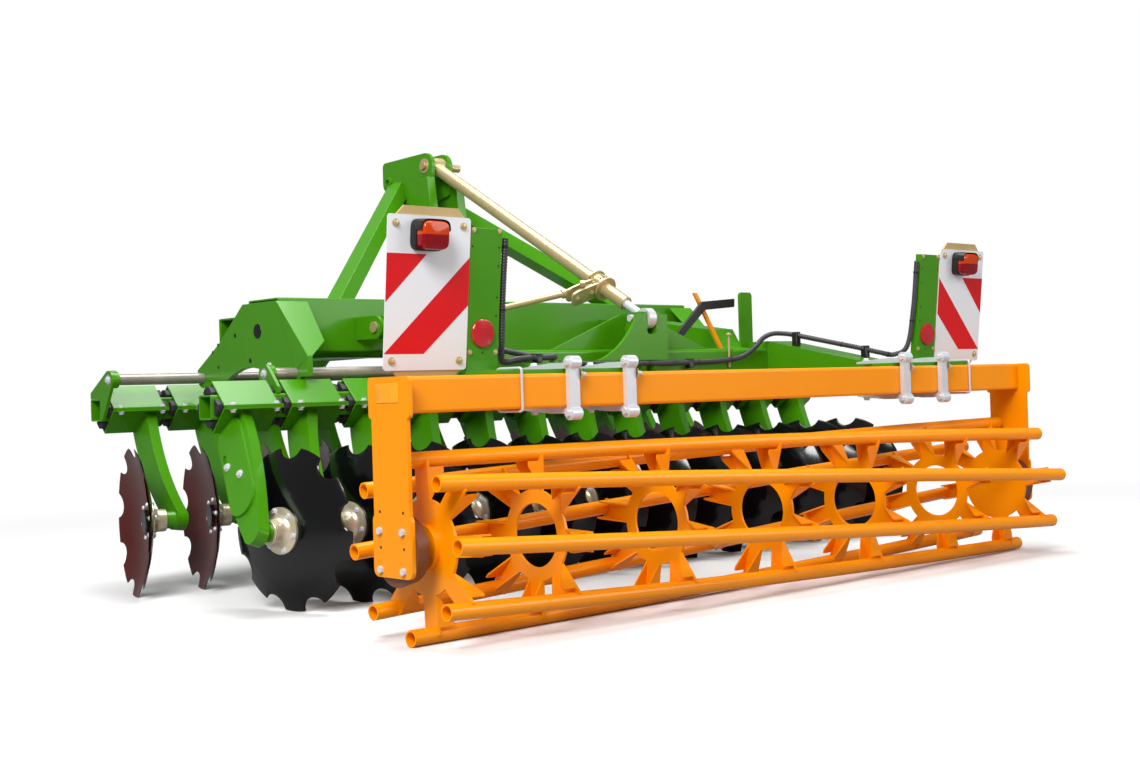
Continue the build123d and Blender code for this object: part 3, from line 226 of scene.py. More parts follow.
def facing(origin, out, near=(0, 0, 1)):
    """4x4 matrix whose Z runs along out and whose X lies as near as can be to near."""
    z = np.array(out, float) / np.linalg.norm(out)
    x = np.array(near, float) - np.dot(near, z) * z
    x /= np.linalg.norm(x)
    matrix = np.eye(4)
    matrix[:3, 0], matrix[:3, 1], matrix[:3, 2], matrix[:3, 3] = x, np.cross(z, x), z, origin
    return matrix


def placed(grids, *matrices):
    """Copies of some grids, one set for each matrix."""
    return [(points @ m[:3, :3].T + m[:3, 3], wrap_u, wrap_v, slot)
            for m in matrices for points, wrap_u, wrap_v, slot in grids]


def ring(count, wide=1.0, high=1.0, power=2.0):
    """Closed outline x = w cos^(2/p) a, y = h sin^(2/p) a: an ellipse at p 2, squarer above."""
    angle = np.linspace(0, TURN, count, endpoint=False)
    c, s = np.cos(angle), np.sin(angle)
    return np.stack([wide * np.sign(c) * np.abs(c) ** (2 / power),
                     high * np.sign(s) * np.abs(s) ** (2 / power)], axis=-1)


def stacked(outline, levels, slot=0):
    """Surface through copies of an outline, each scaled about its middle and set at a height."""
    scale, height = np.array(levels, float).T
    points = np.empty((len(scale), len(outline), 3))
    points[..., :2] = scale[:, None, None] * outline[None]
    points[..., 2] = height[:, None]
    return points, False, True, slot


def bolt(radius, head, slot=0):
    """Washer and hexagon head that stand on z 0."""
    base = 0.28 * head
    return [
        stacked(ring(16), [(1.4 * radius, 0), (1.4 * radius, base), (0.7 * radius, base)], slot),
        stacked(ring(6), [(radius, base), (radius, 0.9 * head), (0.86 * radius, head),
                          (0.01 * radius, head)], slot),
    ]


def dome(radius, head, slot=0):
    """Round rivet head: an arc turned about z."""
    return [stacked(ring(14), [(radius, 0), (0.96 * radius, 0.35 * head),
                               (0.8 * radius, 0.68 * head), (0.45 * radius, 0.94 * head),
                               (0.01 * radius, head)], slot)]


def spot(radius, slot=0):
    """Flat round patch."""
    return [stacked(ring(14), [(radius, 0), (0.01 * radius, 0)], slot)]


def slab(wide, high, thick, slot=0, power=10.0, edge=0.001):
    """Plate with rounded corners and a small chamfer."""
    inner = 1 - 2 * edge / min(wide, high)
    return [stacked(ring(40, wide / 2, high / 2, power),
                    [(1, 0), (1, thick - edge), (inner, thick), (0.01, thick)], slot)]


def patch(corners, slot=0):
    """Bilinear sheet between four corners."""
    a, b, c, d = (np.array(corner, float) for corner in corners)
    u = np.linspace(0, 1, 3)[:, None, None]
    v = np.linspace(0, 1, 3)[None, :, None]
    return (1 - u) * ((1 - v) * a + v * b) + u * ((1 - v) * d + v * c), False, False, slot


def smooth_path(knots, step):
    """Catmull-Rom curve through the knots, cut into equal steps of length."""
    p = np.array(knots, float)
    p = np.vstack([2 * p[0] - p[1], p, 2 * p[-1] - p[-2]])
    t = np.linspace(0, 1, 24, endpoint=False)[None, :, None]
    a, b, c, d = (p[i:len(p) - 3 + i, None, :] for i in range(4))
    curve = 0.5 * (2 * b + (c - a) * t + (2 * a - 5 * b + 4 * c - d) * t ** 2
                   + (3 * b - a - 3 * c + d) * t ** 3)
    curve = np.vstack([curve.reshape(-1, 3), p[-2]])
    run = np.concatenate([[0], np.cumsum(np.linalg.norm(np.diff(curve, axis=0), axis=1))])
    even = np.linspace(0, run[-1], max(2, int(run[-1] / step)))
    return np.stack([np.interp(even, run, curve[:, i]) for i in range(3)], axis=-1), even


def tube(path, radius, sides=12, slot=0, closed=False, near=(0.31, -0.82, 0.48)):
    """Round section carried along a path; the radius may change from point to point."""
    if closed:
        way = np.roll(path, -1, axis=0) - np.roll(path, 1, axis=0)
    else:
        way = np.gradient(path, axis=0)
    way /= np.linalg.norm(way, axis=1, keepdims=True)
    side = np.cross(way, near)
    side /= np.linalg.norm(side, axis=1, keepdims=True)
    up = np.cross(way, side)
    angle = np.linspace(0, TURN, sides, endpoint=False)
    radius = np.broadcast_to(radius, len(path))[:, None, None]
    points = path[:, None] + radius * (np.cos(angle)[None, :, None] * side[:, None]
                                       + np.sin(angle)[None, :, None] * up[:, None])
    return points, closed, True, slot


def piece(name, body, grids, looks, stands_for=(), crease=32.0):
    """One mesh from grids of points that rides a body, in the finishes given."""
    points, faces, slots, start = [], [], [], 0
    for grid, wrap_u, wrap_v, slot in grids:
        rows, columns = grid.shape[:2]
        ids = start + np.arange(rows * columns).reshape(rows, columns)
        if wrap_u:
            ids = np.concatenate([ids, ids[:1]], axis=0)
        if wrap_v:
            ids = np.concatenate([ids, ids[:, :1]], axis=1)
        quads = np.stack([ids[:-1, :-1], ids[:-1, 1:], ids[1:, 1:], ids[1:, :-1]], axis=-1)
        points.append(grid.reshape(-1, 3))
        faces.append(quads.reshape(-1, 4))
        slots.append(np.full(quads.size // 4, slot))
        start += rows * columns
    points, faces, slots = (np.concatenate(part) for part in (points, faces, slots))
    mesh = bpy.data.meshes.new(name)
    mesh.vertices.add(len(points))
    mesh.vertices.foreach_set("co", points.astype(np.float32).ravel())
    mesh.loops.add(faces.size)
    mesh.loops.foreach_set("vertex_index", faces.astype(np.int32).ravel())
    mesh.polygons.add(len(faces))
    mesh.polygons.foreach_set("loop_start", np.arange(0, faces.size, 4, dtype=np.int32))
    mesh.polygons.foreach_set("material_index", slots.astype(np.int32))
    mesh.update(calc_edges=True)
    mesh.shade_smooth()
    mesh.set_sharp_from_angle(angle=radians(crease))
    for look in looks:
        mesh.materials.append(look)
    obj = bpy.data.objects.new(name, mesh)
    bpy.context.collection.objects.link(obj)
    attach(obj, body)
    if stands_for:
        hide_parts(*stands_for)
    return obj


# Discs: a rolled dish with nine notches, its hub and its bolts, all turned about local z,
# which runs from the dish's rim plane towards the hub
RIM = 0.255
NOTCH_BITE, NOTCH_OUT = 0.048, 0.269  # a notch's radius and its middle's distance from z
DISH_R = (0.0, 0.074, 0.110, 0.150, 0.184, 0.220, RIM)
DISH_Z = (0.048, 0.048, 0.0435, 0.0362, 0.0275, 0.0143, 0.0025)
BLADE, GROUND, GROUND_DEPTH = 0.005, 0.009, 0.0032  # sheet, and the width and depth ground off


def notched_rim(columns):
    """Angle and rim radius: the rim's, or where a notch bites, the near side of its circle."""
    half = np.arccos((NOTCH_OUT ** 2 + RIM ** 2 - NOTCH_BITE ** 2) / (2 * NOTCH_OUT * RIM))
    within = np.concatenate([np.linspace(-half, half, columns, endpoint=False),
                             np.linspace(half, TURN / NOTCHES - half, 7)[:-1]])
    edge = np.full(len(within), RIM)
    inside = np.abs(within) < half
    edge[inside] = (NOTCH_OUT * np.cos(within[inside])
                    - np.sqrt(NOTCH_BITE ** 2 - (NOTCH_OUT * np.sin(within[inside])) ** 2))
    sectors = (np.arange(NOTCHES) + 0.5) * TURN / NOTCHES
    return (sectors[:, None] + within[None]).ravel(), np.tile(edge, NOTCHES)


def blade(rings, inset, under, ground, slot):
    """Dish z(r) by fixed rings, with the last two following the notched rim; under is the
    distance below the dish's upper face, ground how deep the very edge is ground off."""
    angle, rim = notched_rim(17)
    radius = np.vstack([np.broadcast_to(np.array(rings)[:, None], (len(rings), len(rim))),
                        rim - inset, rim])
    height = np.interp(radius, DISH_R, DISH_Z) - under
    height[-1] -= ground
    points = np.stack([radius * np.cos(angle), radius * np.sin(angle), height], axis=-1)
    return points, False, True, slot


def around(grids, count, radius, height, start=0.0, down=False):
    """Copies on a circle about z at a height, upright or hanging."""
    turns = start + np.arange(count) * TURN / count
    return placed(grids, *(facing((radius * cos(a), radius * sin(a), height),
                                  (0, 0, -1 if down else 1), (1, 0, 0)) for a in turns))


DISC = [
    blade((0.020, 0.060, 0.073, 0.090, 0.110, 0.130, 0.150, 0.168, 0.1825, 0.1845, 0.196, 0.208),
          GROUND, 0.0, GROUND_DEPTH, 0),
    blade((0.020, 0.074, 0.110, 0.150, 0.184, 0.208), 0.0005, BLADE, 0.0, 1),
]
HUB = [
    stacked(ring(48), [
        (0.0152, 0.1070), (0.0360, 0.1070), (0.0385, 0.1052), (0.0385, 0.1010), (0.0372, 0.1000),
        (0.0372, 0.0985), (0.0390, 0.0975), (0.0390, 0.0800), (0.0405, 0.0735), (0.0450, 0.0665),
        (0.0520, 0.0610), (0.0560, 0.0588), (0.0700, 0.0580), (0.0730, 0.0565), (0.0730, 0.0485),
    ], 2),
    stacked(ring(32), [(0.040, 0.0425), (0.040, 0.0365), (0.036, 0.0330), (0.001, 0.0325)], 0),
]
HUB_BOLTS, FIRST_BOLT = 6, 0.3  # count, and the first one's angle
DISC += HUB
DISC += around(bolt(0.0075, 0.0075, 3), HUB_BOLTS, 0.0632, 0.0578, FIRST_BOLT)
DISC += around(dome(0.0085, 0.0065, 3), HUB_BOLTS, 0.0600, 0.0432, FIRST_BOLT, down=True)
for joint in frame["joints"]:
    name = joint["child"]
    if name.startswith("disc_"):
        axle = facing(joint["pos_m"], joint["axis"], (0, 0, -1))
        piece("blade_" + name[5:], name, placed(DISC, axle),
              [BLACK, DISH_INSIDE_RED, HUB_ZINC, SILVER_ZINC], [name], crease=28.0)

# Carriers: four bolts through each pair of flanges, heads above and nuts below
FLANGE_ALONG, FLANGE_ACROSS, FLANGE_FACE = 0.080, 0.097, 0.0070  # bolts; face from the middle
for row in ("front", "rear"):
    heads, nuts = [], []
    for i in range(PER_ROW):
        for along in (-FLANGE_ALONG, FLANGE_ALONG):
            for across in (-FLANGE_ACROSS, FLANGE_ACROSS):
                x, y = X_CARRIER + i * PITCH + along, Y_BEAM[row] + across
                heads.append(facing((x, y, BEAM_HEIGHT + FLANGE_FACE), (0, 0, 1), (1, 0, 0)))
                nuts.append(facing((x, y, BEAM_HEIGHT - FLANGE_FACE), (0, 0, -1), (1, 0, 0)))
    piece(f"flange_bolts_{row}", row + "_row",
          placed(bolt(0.0090, 0.0085), *heads) + placed(bolt(0.0090, 0.0110), *nuts),
          [SILVER_ZINC])

# Slide rods: a bolt in each end that has room for it and a cross bolt through each collar
ROD_ENDS = {"front": (X_CARRIER - 0.131, X_CARRIER + 2.631), "rear": (X_CARRIER + 0.119, None)}
COLLARS = {"front": (X_CARRIER - 0.109, X_CARRIER + 2.609),
           "rear": (X_CARRIER + 0.141, X_CARRIER + 2.859)}
COLLAR_SEAT = 0.0295  # the washers sink half a millimetre into the round collars
for row in ("front", "rear"):
    grids = []
    for x, out in zip(ROD_ENDS[row], (-1, 1)):
        if x is not None:
            grids += placed(bolt(0.0105, 0.0080),
                            facing((x, Y_ROD[row], ROD_HEIGHT), (out, 0, 0)))
    for x in COLLARS[row]:
        grids += placed(bolt(0.0070, 0.0070),
                        facing((x, Y_ROD[row], ROD_HEIGHT + COLLAR_SEAT), (0, 0, 1),
                               (1, 0, 0)))
    piece(f"rod_bolts_{row}", row + "_row", grids, [SILVER_ZINC])

# Cover plate on the outermost rear arm: two bolts beside its slot
EDGE_BOLTS = ((-1.3444, 1.0444, 0.4495), (-1.3514, 0.9554, 0.4311))  # from the roller's axle
EDGE_OUT = (-0.93527, 0.0, 0.35394)
piece("edge_arm_bolts", "rear_row",
      placed(bolt(0.0100, 0.0090), *(facing((X_ROLLER + x, Y_ROLLER + y, z), EDGE_OUT)
                                     for x, y, z in EDGE_BOLTS)), [SILVER_ZINC])

# Side plates of the frame: laser-cut holes, drawn as flat spots of painted shade, and a black plug
# on each outer face
HOLES = (  # y from the roller's axle, z, radius
    (1.596, 0.892, 0.008), (1.721, 0.864, 0.006), (1.761, 0.838, 0.006),
    (1.722, 0.782, 0.006), (1.495, 0.799, 0.009),
)
PLUG = (1.440, 0.900)  # y and z
grids = []
for side in (-1, 1):
    x = X_FRAME + side * (FRAME_FACE + LIFT)
    for y, z, radius in HOLES:
        grids += placed(spot(radius), facing((x, Y_ROLLER + y, z), (side, 0, 0)))
    grids += placed([stacked(ring(28), [(0.0260, 0), (0.0250, 0.0015), (0.0200, 0.0022),
                                        (0.0003, 0.0022)], 1)],
                    facing((x, Y_ROLLER + PLUG[0], PLUG[1]), (side, 0, 0)))
piece("plate_holes", "main_frame", grids, [HOLE_SHADE, PLASTIC])

# Side arms: drilled holes, drawn as spots of painted shade, between the bearing's bolts and a
# blank plate on the head
DRILLED_Y, DRILLED_Z = (-0.052, 0.052), (0.356, 0.262)
HEAD_PLATE = (0.005, 0.667)  # y and z of its middle
grids = []
for side in (-1, 1):
    x = X_ROLLER + side * (SIDE_ARM_FACE + LIFT)
    for y in DRILLED_Y:
        for z in DRILLED_Z:
            grids += placed(spot(0.0042), facing((x, Y_ROLLER + y, z), (side, 0, 0)))
    grids += placed(slab(0.051, 0.104, 0.002, 1, 16.0),
                    facing((x, Y_ROLLER + HEAD_PLATE[0], HEAD_PLATE[1]), (side, 0, 0)))
piece("arm_trim", "roller_frame", grids, [HOLE_SHADE, PLATE_ORANGE])

# Thin rods bent round the roller beam, and the bolts of the cast clamps: through the ears
# behind the beam, a stud with its nut between them, and up and down through the tongues ahead
ROD_LOOPS = (-1.042, 1.112)
LOOP_MIDDLE, LOOP_HALF = 0.6665, (0.0535, 0.0600)  # height; half its depth and height
CLAMPS = [X_FRAME + middle + side for middle in (-0.785, 0.785) for side in (-0.112, 0.112)]
CLAMP_HALF, EAR_Y, TONGUE_Y = 0.019, -0.0593, 0.112
EAR_HEIGHTS, STUD_HEIGHT = (0.7396, 0.5947), 0.7050
TONGUE_BOLTS = ((0.7325, 1, 0.0095), (0.6025, -1, 0.0110))  # height, way up or down, head
bend = ring(72, *LOOP_HALF, 14.0)
grids = []
for x in ROD_LOOPS:
    loop = np.stack([np.full(len(bend), X_ROLLER + x), Y_ROLLER + bend[:, 0],
                     LOOP_MIDDLE + bend[:, 1]], axis=-1)
    grids.append(tube(loop, 0.0038, 8, 0, closed=True, near=(1, 0, 0)))
for x in CLAMPS:
    for side in (-1, 1):
        for z in EAR_HEIGHTS:
            grids += placed(bolt(0.0105, 0.0095),
                            facing((x + side * CLAMP_HALF, Y_ROLLER + EAR_Y, z), (side, 0, 0)))
    stud = facing((x + CLAMP_HALF, Y_ROLLER + EAR_Y, STUD_HEIGHT), (1, 0, 0))
    grids += placed(bolt(0.0125, 0.0130, 1), stud)
    grids += placed([stacked(ring(14), [(0.0070, 0.010), (0.0070, 0.026), (0.0060, 0.028),
                                        (0.0001, 0.028)])], stud)
    for z, way, head in TONGUE_BOLTS:
        grids += placed(bolt(0.0100, head),
                        facing((x, Y_ROLLER + TONGUE_Y, z), (0, 0.1, way), (1, 0, 0)))
piece("beam_fasteners", "roller_frame", grids, [SILVER_ZINC, YELLOW_ZINC])


# Warning boards: stripes, corner bolts and lamps in each board's own plane

def on_board(side, x, height, out=0.0):
    """Point on a board: x from its left edge, height over its foot, out towards the rear."""
    y, z = BOARD_FOOT
    return (BOARD_EDGES[side] + x,
            y - height * sin(BOARD_LEAN) - out * cos(BOARD_LEAN),
            z + height * cos(BOARD_LEAN) - out * sin(BOARD_LEAN))


REARWARD = (0, -cos(BOARD_LEAN), -sin(BOARD_LEAN))
BOARD_FACE, POST_FACE = 0.0030, 0.0005  # how far the faces lie out from the boards' backs
STUD_IN, STUD_HEIGHTS = 0.026, (0.026, 0.399)  # corner bolts, from the edges and the foot
BANDS = (  # red fields on the left board, as corners x and height; the right one is its mirror
    ((0.0, 0.185), (0.0, 0.318), (0.133, 0.318), (0.0665, 0.2515)),
    ((0.0, 0.045), (0.133, 0.045), (BOARD_WIDTH, 0.180), (BOARD_WIDTH, 0.314)),
)
LAMP = (BOARD_WIDTH / 2 - 0.016, 0.370)  # x and height of its middle
LAMP_BASE = [
    stacked(ring(56, 0.050, 0.044, 4.5), [(1, 0), (1, 0.022), (0.97, 0.026), (0.90, 0.026)], 0),
    stacked(ring(56, 0.046, 0.040, 4.5),
            [(1, 0.024), (1, 0.044), (0.97, 0.050), (0.90, 0.0545), (0.6, 0.0568),
             (0.01, 0.0572)], 1),
]
# The lamp's hood: the upper half of a rounded square x = a c^0.45, y = b s^0.45, carried out
# from the base and back on itself
hood = np.linspace(0.02 * pi, 0.98 * pi, 24)
lid = np.stack([0.0505 * np.sign(np.cos(hood)) * np.abs(np.cos(hood)) ** 0.45,
                0.0445 * np.abs(np.sin(hood)) ** 0.45], axis=-1)
depth = np.array([0.020, 0.050, 0.051, 0.020])
scale = np.array([1.0, 0.99, 0.95, 0.955])
sheet = np.empty((4, len(lid), 3))
sheet[..., :2] = scale[:, None, None] * lid[None]
sheet[..., 2] = depth[:, None]
LAMP_HOOD = [(sheet, False, False, 0)]
stripes, lamps, studs = [], [], []
for side in ("left", "right"):
    mirror = side == "right"
    for band in BANDS:
        stripes.append(patch([on_board(side, BOARD_WIDTH - x if mirror else x, h,
                                       BOARD_FACE + 2 * LIFT) for x, h in band], 0))
    for x in (STUD_IN, BOARD_WIDTH - STUD_IN):
        for h in STUD_HEIGHTS:
            studs += placed(bolt(0.0080, 0.0060, 1),
                            facing(on_board(side, x, h, BOARD_FACE + LIFT), REARWARD, (1, 0, 0)))
    lamps += placed(LAMP_BASE + LAMP_HOOD,
                    facing(on_board(side, *LAMP, BOARD_FACE + 1.5 * LIFT), REARWARD, (1, 0, 0)))
piece("board_stripes", "roller_frame", stripes, [SIGN_RED])
piece("board_studs", "roller_frame", studs, [WHITE, YELLOW_ZINC])
piece("tail_lamps", "roller_frame", lamps, [PLASTIC, LENS], ["board_lamps"])

# Posts: a round reflector, corner screws and a row of holes for the cable ties, as x from the
# post's middle and height over the boards' foot. The right post is the left one's mirror.
POST_SCREWS = ((-0.046, 0.392), (0.046, 0.392), (-0.046, 0.048), (0.046, 0.048))
POST_HOLES = ((-0.049, 0.346), (0.047, 0.346), (0.047, 0.293), (0.045, 0.204), (0.044, 0.152),
              (0.0, 0.047))
REFLECTOR_AT = (-0.004, 0.102)
grids = []
for side, out in (("left", 1), ("right", -1)):
    middle = POST_MIDDLES[side] - BOARD_EDGES[side]
    for x, h in POST_SCREWS:
        grids += placed(bolt(0.0055, 0.0045, 1),
                        facing(on_board(side, middle + x, h, POST_FACE + LIFT), REARWARD,
                               (1, 0, 0)))
    # The holes are flat spots of painted shade
    for x, h in POST_HOLES:
        grids += placed(spot(0.0032, 2),
                        facing(on_board(side, middle + out * x, h, POST_FACE + 1.5 * LIFT),
                               REARWARD, (1, 0, 0)))
    x, h = REFLECTOR_AT
    grids += placed([
        stacked(ring(40), [(0.0400, 0), (0.0400, 0.0050), (0.0385, 0.0068), (0.0360, 0.0072),
                           (0.0001, 0.0080)], 0)],
        facing(on_board(side, middle + out * x, h, POST_FACE + LIFT), REARWARD, (1, 0, 0)))
piece("post_trim", "roller_frame", grids, [REFLECTOR, YELLOW_ZINC, HOLE_SHADE])

# Wiring: ribbed conduit, radius r0 + a cos(2 pi s / pitch) along the length s, with a tie at
# every so often and clips on the arms and the cross tube. It runs from the left board along the
# link frame's left arm and rear cross tube, up over the right arm and to the right board. The
# branch goes forward along the left arm.
RIBBED, RIB, RIB_PITCH = 0.0090, 0.0010, 0.0084
TIE_FIRST, TIE_EVERY, TIE_RADIUS = 0.02, 0.18, 0.0102
CLIP_OVER = 0.013  # a clip's top over the conduit's middle
CONDUIT = (  # x and y from the roller's axle, z
    (-0.974, 0.082, 1.100), (-0.974, 0.103, 0.930), (-0.970, 0.118, 0.800), (-0.948, 0.148, 0.756),
    (-0.890, 0.190, 0.750), (-0.820, 0.215, 0.758), (-0.745, 0.222, 0.761), (-0.670, 0.234, 0.763),
    (-0.640, 0.300, 0.762), (-0.630, 0.450, 0.760), (-0.600, 0.570, 0.756), (-0.520, 0.590, 0.752),
    (-0.300, 0.590, 0.750), (-0.120, 0.560, 0.748), (-0.050, 0.508, 0.746), (0.100, 0.508, 0.745),
    (0.200, 0.560, 0.747), (0.300, 0.590, 0.749), (0.410, 0.590, 0.751), (0.491, 0.590, 0.755),
    (0.560, 0.590, 0.762), (0.615, 0.590, 0.778), (0.665, 0.590, 0.806), (0.712, 0.592, 0.838),
    (0.748, 0.575, 0.853), (0.775, 0.535, 0.851), (0.785, 0.480, 0.841), (0.805, 0.360, 0.814),
    (0.850, 0.250, 0.786), (0.905, 0.195, 0.766), (0.955, 0.165, 0.757), (0.990, 0.130, 0.790),
    (0.997, 0.103, 0.930), (0.997, 0.082, 1.100),
)
BRANCH = ((-0.745, 0.222, 0.761), (-0.760, 0.330, 0.783), (-0.785, 0.460, 0.810),
          (-0.790, 0.578, 0.834))
CLIPS = (  # x, y and z of the conduit's middle, height of the steel below it
    (0.783, 0.490, 0.843, 0.802), (0.868, 0.232, 0.780, 0.750), (-0.745, 0.224, 0.761, 0.748),
    (0.300, 0.590, 0.749, 0.728), (-0.400, 0.590, 0.750, 0.728),
)
grids, ties = [], []
for knots in (CONDUIT, BRANCH):
    path, run = smooth_path(knots, 0.0018)
    path = path + np.array((X_ROLLER, Y_ROLLER, 0))
    grids.append(tube(path, RIBBED + RIB * np.cos(TURN * run / RIB_PITCH), 12))
    for at in np.arange(TIE_FIRST, run[-1], TIE_EVERY):
        i = int(np.searchsorted(run, at))
        ties.append(tube(path[i:i + 4], TIE_RADIUS, 14, 1))
for x, y, z, foot in CLIPS:
    ties += placed(slab(0.024, 0.026, z + CLIP_OVER - foot, 1, 8.0, 0.002),
                   facing((X_ROLLER + x, Y_ROLLER + y, foot), (0, 0, 1), (1, 0, 0)))
piece("ribbed_conduit", "roller_frame", grids + ties, [CONDUIT_GREY, PLASTIC],
      ["wiring_conduit"], crease=60.0)

# Depth spindle's ratchet: toothed wheel between two flanges, and the pawl's housing, a pair of
# plates that run out along the lever with the pawl's knob and spring pin between them. Places
# along the spindle count from its upper pin, places along the lever from its axis.
WHEEL_AT, FLANGES_AT, PLATES_AT = 1.1140, (1.0880, 1.1480), (1.0990, 1.1330)
KNOB_AT, KNOB_OUT = 1.1200, 0.080
PLATE_OUT = 0.066
BOLTS_AT, BOLTS_OUT = 1.1410, (0.052, 0.118)
TEETH, TOOTH_MIDDLE, TOOTH_HALF = 16, 0.0395, 0.0025
DOWN = (SPINDLE_FOOT - SPINDLE_HEAD) / np.linalg.norm(SPINDLE_FOOT - SPINDLE_HEAD)
LEVER = np.array((-0.340, 0.156, -0.079))
LEVER -= np.dot(LEVER, DOWN) * DOWN
LEVER /= np.linalg.norm(LEVER)


def on_spindle(at, out=0.0):
    """Point at a distance down the spindle and a distance out along the lever."""
    return SPINDLE_HEAD + at * DOWN + out * LEVER


angle = np.linspace(0, TURN, 6 * TEETH, endpoint=False)
wheel = (TOOTH_MIDDLE + TOOTH_HALF * np.sign(np.sin(TEETH * angle)))[:, None] * np.stack(
    [np.cos(angle), np.sin(angle)], axis=-1)
grids = placed([stacked(wheel, [(0.8, 0), (1, 0), (1, 0.014), (0.8, 0.014)])],
               facing(on_spindle(WHEEL_AT), DOWN, LEVER))
for at in FLANGES_AT:
    grids += placed([stacked(ring(36), [(0.024, 0), (0.0445, 0), (0.0455, 0.001),
                                        (0.0455, 0.005), (0.0445, 0.006), (0.024, 0.006)])],
                    facing(on_spindle(at), DOWN, LEVER))
for at in PLATES_AT:
    grids += placed(slab(0.150, 0.058, 0.008, 0, 5.0),
                    facing(on_spindle(at, PLATE_OUT), DOWN, LEVER))
grids += placed([stacked(ring(20), [(0.0001, -0.034), (0.0090, -0.034), (0.0090, 0.030),
                                    (0.0110, 0.032), (0.0110, 0.044), (0.0090, 0.048),
                                    (0.0001, 0.048)])],
                facing(on_spindle(KNOB_AT, KNOB_OUT), -np.cross(DOWN, LEVER), LEVER))
for out in BOLTS_OUT:
    grids += placed(bolt(0.0080, 0.0070), facing(on_spindle(BOLTS_AT, out), DOWN, LEVER))
piece("ratchet", "spindle_barrel", grids, [YELLOW_ZINC])

# Tower's upper pin: washers on the head's faces and a cross hole, a spot of painted shade, in the
# end of the grip
GRIP_END = 0.1222
grids = []
for side in (-1, 1):
    grids += placed([stacked(ring(32), [(0.030, 0), (0.030, 0.0030), (0.018, 0.0034)])],
                    facing((X_FRAME + side * HEAD_FACE, *SPINDLE_HEAD[1:]), (side, 0, 0)))
grids += placed(spot(0.0100, 1), facing((X_FRAME + GRIP_END, *SPINDLE_HEAD[1:]), (1, 0, 0)))
piece("pin_trim", "main_frame", grids, [YELLOW_ZINC, HOLE_SHADE])

# The long bolt that stands beside the stop plate
STOP_BOLT, STOP_BOLT_FOOT, STOP_BOLT_TOP = (0.525, 0.6015), 0.7285, 0.8480
rod = np.stack([np.full(12, X_ROLLER + STOP_BOLT[0]), np.full(12, Y_ROLLER + STOP_BOLT[1]),
                np.linspace(STOP_BOLT_FOOT, STOP_BOLT_TOP, 12)], axis=-1)
grids = [tube(rod, 0.0045, 10)]
grids += placed(bolt(0.0095, 0.0090), facing(rod[-1], (0, 0, 1), (1, 0, 0)))
piece("stop_bolt", "roller_frame", grids, [YELLOW_ZINC])


# Stage: a pale floor that fades into a white backdrop, lit by three large soft lamps. Rays
# from the camera meet it bright, mirrored and scattered rays dimmer.

def by_ray(tree, camera, glossy, other):
    """A value for rays from the camera, for mirrored rays and for all others."""
    kind = add(tree, "ShaderNodeLightPath")
    rest = add(tree, "ShaderNodeMapRange", Value=kind.outputs["Is Glossy Ray"])
    rest.inputs["To Min"].default_value = other
    rest.inputs["To Max"].default_value = glossy
    all_rays = add(tree, "ShaderNodeMapRange", Value=kind.outputs["Is Camera Ray"])
    all_rays.inputs["To Max"].default_value = camera
    tree.links.new(rest.outputs["Result"], all_rays.inputs["To Min"])
    return all_rays.outputs["Result"]


WORLD_RAYS = (1.0, 0.22, 0.38)  # camera, mirrored and other rays
FLOOR_RAYS, GLOW_RAYS = (0.9, 0.35, 0.35), (1.0, 0.25, 0.25)
FADE_FROM, FADE_TO = 2.0, 5.0  # distance at which the floor starts to glow and only glows
FLOOR_REACH = 60.0
SKY = bpy.data.worlds.new("studio")
bpy.context.scene.world = SKY
SKY.use_nodes = True
sky = SKY.node_tree
background = sky.nodes["Background"]
background.inputs["Color"].default_value = (1, 1, 1, 1)
sky.links.new(by_ray(sky, *WORLD_RAYS), background.inputs["Strength"])

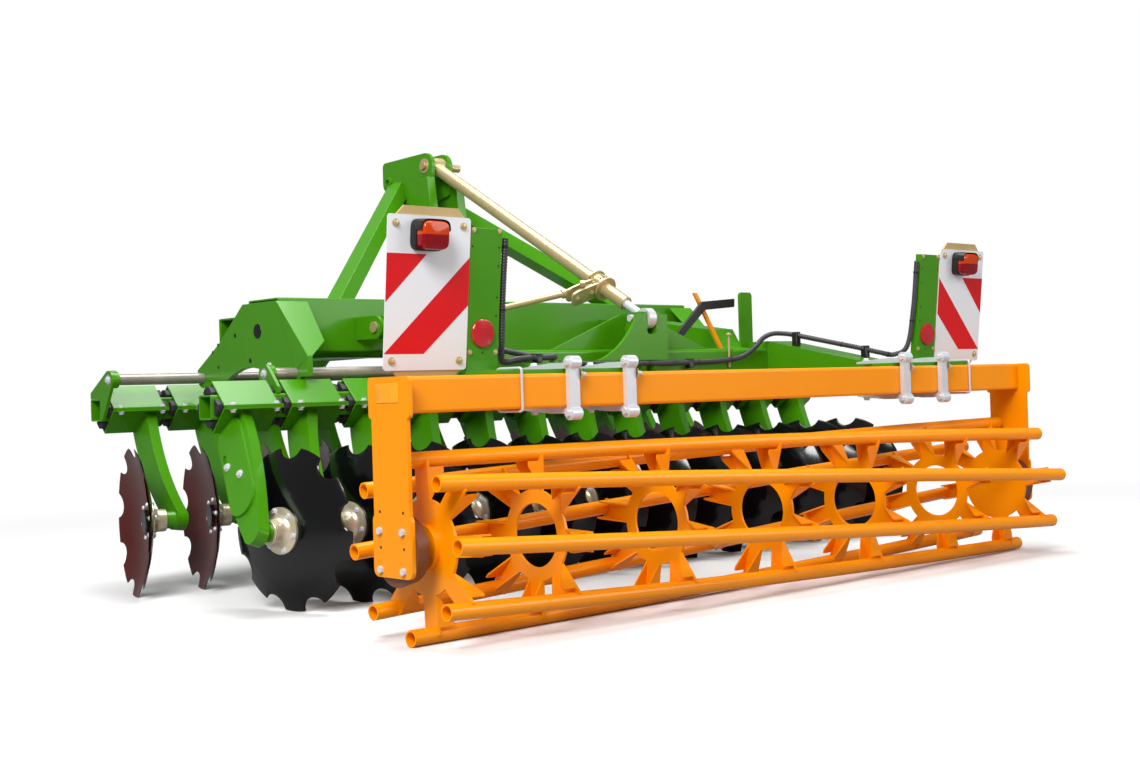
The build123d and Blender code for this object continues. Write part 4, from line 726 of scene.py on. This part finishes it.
FLOOR = finish_of("floor_pale", "#f4f4f4", 0.7, specular=0.1)
tree = FLOOR.node_tree
shader = tree.nodes["Principled BSDF"]
tone = add(tree, "ShaderNodeCombineColor")
for channel in ("Red", "Green", "Blue"):
    tree.links.new(by_ray(tree, *FLOOR_RAYS), tone.inputs[channel])
tree.links.new(tone.outputs["Color"], shader.inputs["Base Color"])
far = add(tree, "ShaderNodeVectorMath", operation="LENGTH")
tree.links.new(add(tree, "ShaderNodeNewGeometry").outputs["Position"], far.inputs[0])
fade = add(tree, "ShaderNodeMapRange", Value=far.outputs["Value"])
fade.inputs["From Min"].default_value = FADE_FROM
fade.inputs["From Max"].default_value = FADE_TO
glow = add(tree, "ShaderNodeEmission", Color=(1, 1, 1, 1))
tree.links.new(by_ray(tree, *GLOW_RAYS), glow.inputs["Strength"])
both = add(tree, "ShaderNodeMixShader")
tree.links.new(fade.outputs["Result"], both.inputs[0])
tree.links.new(shader.outputs["BSDF"], both.inputs[1])
tree.links.new(glow.outputs["Emission"], both.inputs[2])
tree.links.new(both.outputs["Shader"], tree.nodes["Material Output"].inputs["Surface"])

floor_mesh = bpy.data.meshes.new("floor")
floor_mesh.from_pydata([(-FLOOR_REACH, -FLOOR_REACH, 0), (FLOOR_REACH, -FLOOR_REACH, 0),
                        (FLOOR_REACH, FLOOR_REACH, 0), (-FLOOR_REACH, FLOOR_REACH, 0)],
                       [], [(0, 1, 2, 3)])
floor = bpy.data.objects.new("floor", floor_mesh)
bpy.context.collection.objects.link(floor)
floor_mesh.materials.append(FLOOR)

LAMPS_AIM = Vector((0, 0, 0.5))
for name, place, size, power in (
    ("key", (-5.5, -3.5, 4.6), 2.6, 430),
    ("fill", (4.5, -6.5, 3.0), 3.5, 150),
    ("top", (0.0, 0.2, 6.0), 4.0, 350),
):
    lamp = bpy.data.lights.new(name, "AREA")
    lamp.energy = power
    lamp.size = size
    holder = bpy.data.objects.new(name, lamp)
    holder.location = place
    holder.rotation_euler = (LAMPS_AIM - Vector(place)).to_track_quat("-Z", "Y").to_euler()
    bpy.context.collection.objects.link(holder)

# Camera at the photograph's place: behind the machine's left corner, low down
camera_data = bpy.data.cameras.new("camera")
camera_data.sensor_width = 36.0
camera_data.lens = 48.99
camera_data.clip_end = 200
camera = bpy.data.objects.new("camera", camera_data)
bpy.context.collection.objects.link(camera)
viewpoint = Vector((-3.7985 + X_ROLLER, -3.3373 + Y_ROLLER, 0.6611))
right = Vector((0.74542, -0.66590, -0.03054))
upward = Vector((0.01848, -0.02516, 0.99951))
forward = Vector((0.66634, 0.74562, 0.00645))
axes = Matrix((right, upward, -forward)).transposed().to_4x4()
camera.matrix_world = Matrix.Translation(viewpoint) @ axes

scene = bpy.context.scene
scene.camera = camera
scene.view_settings.view_transform = "Standard"
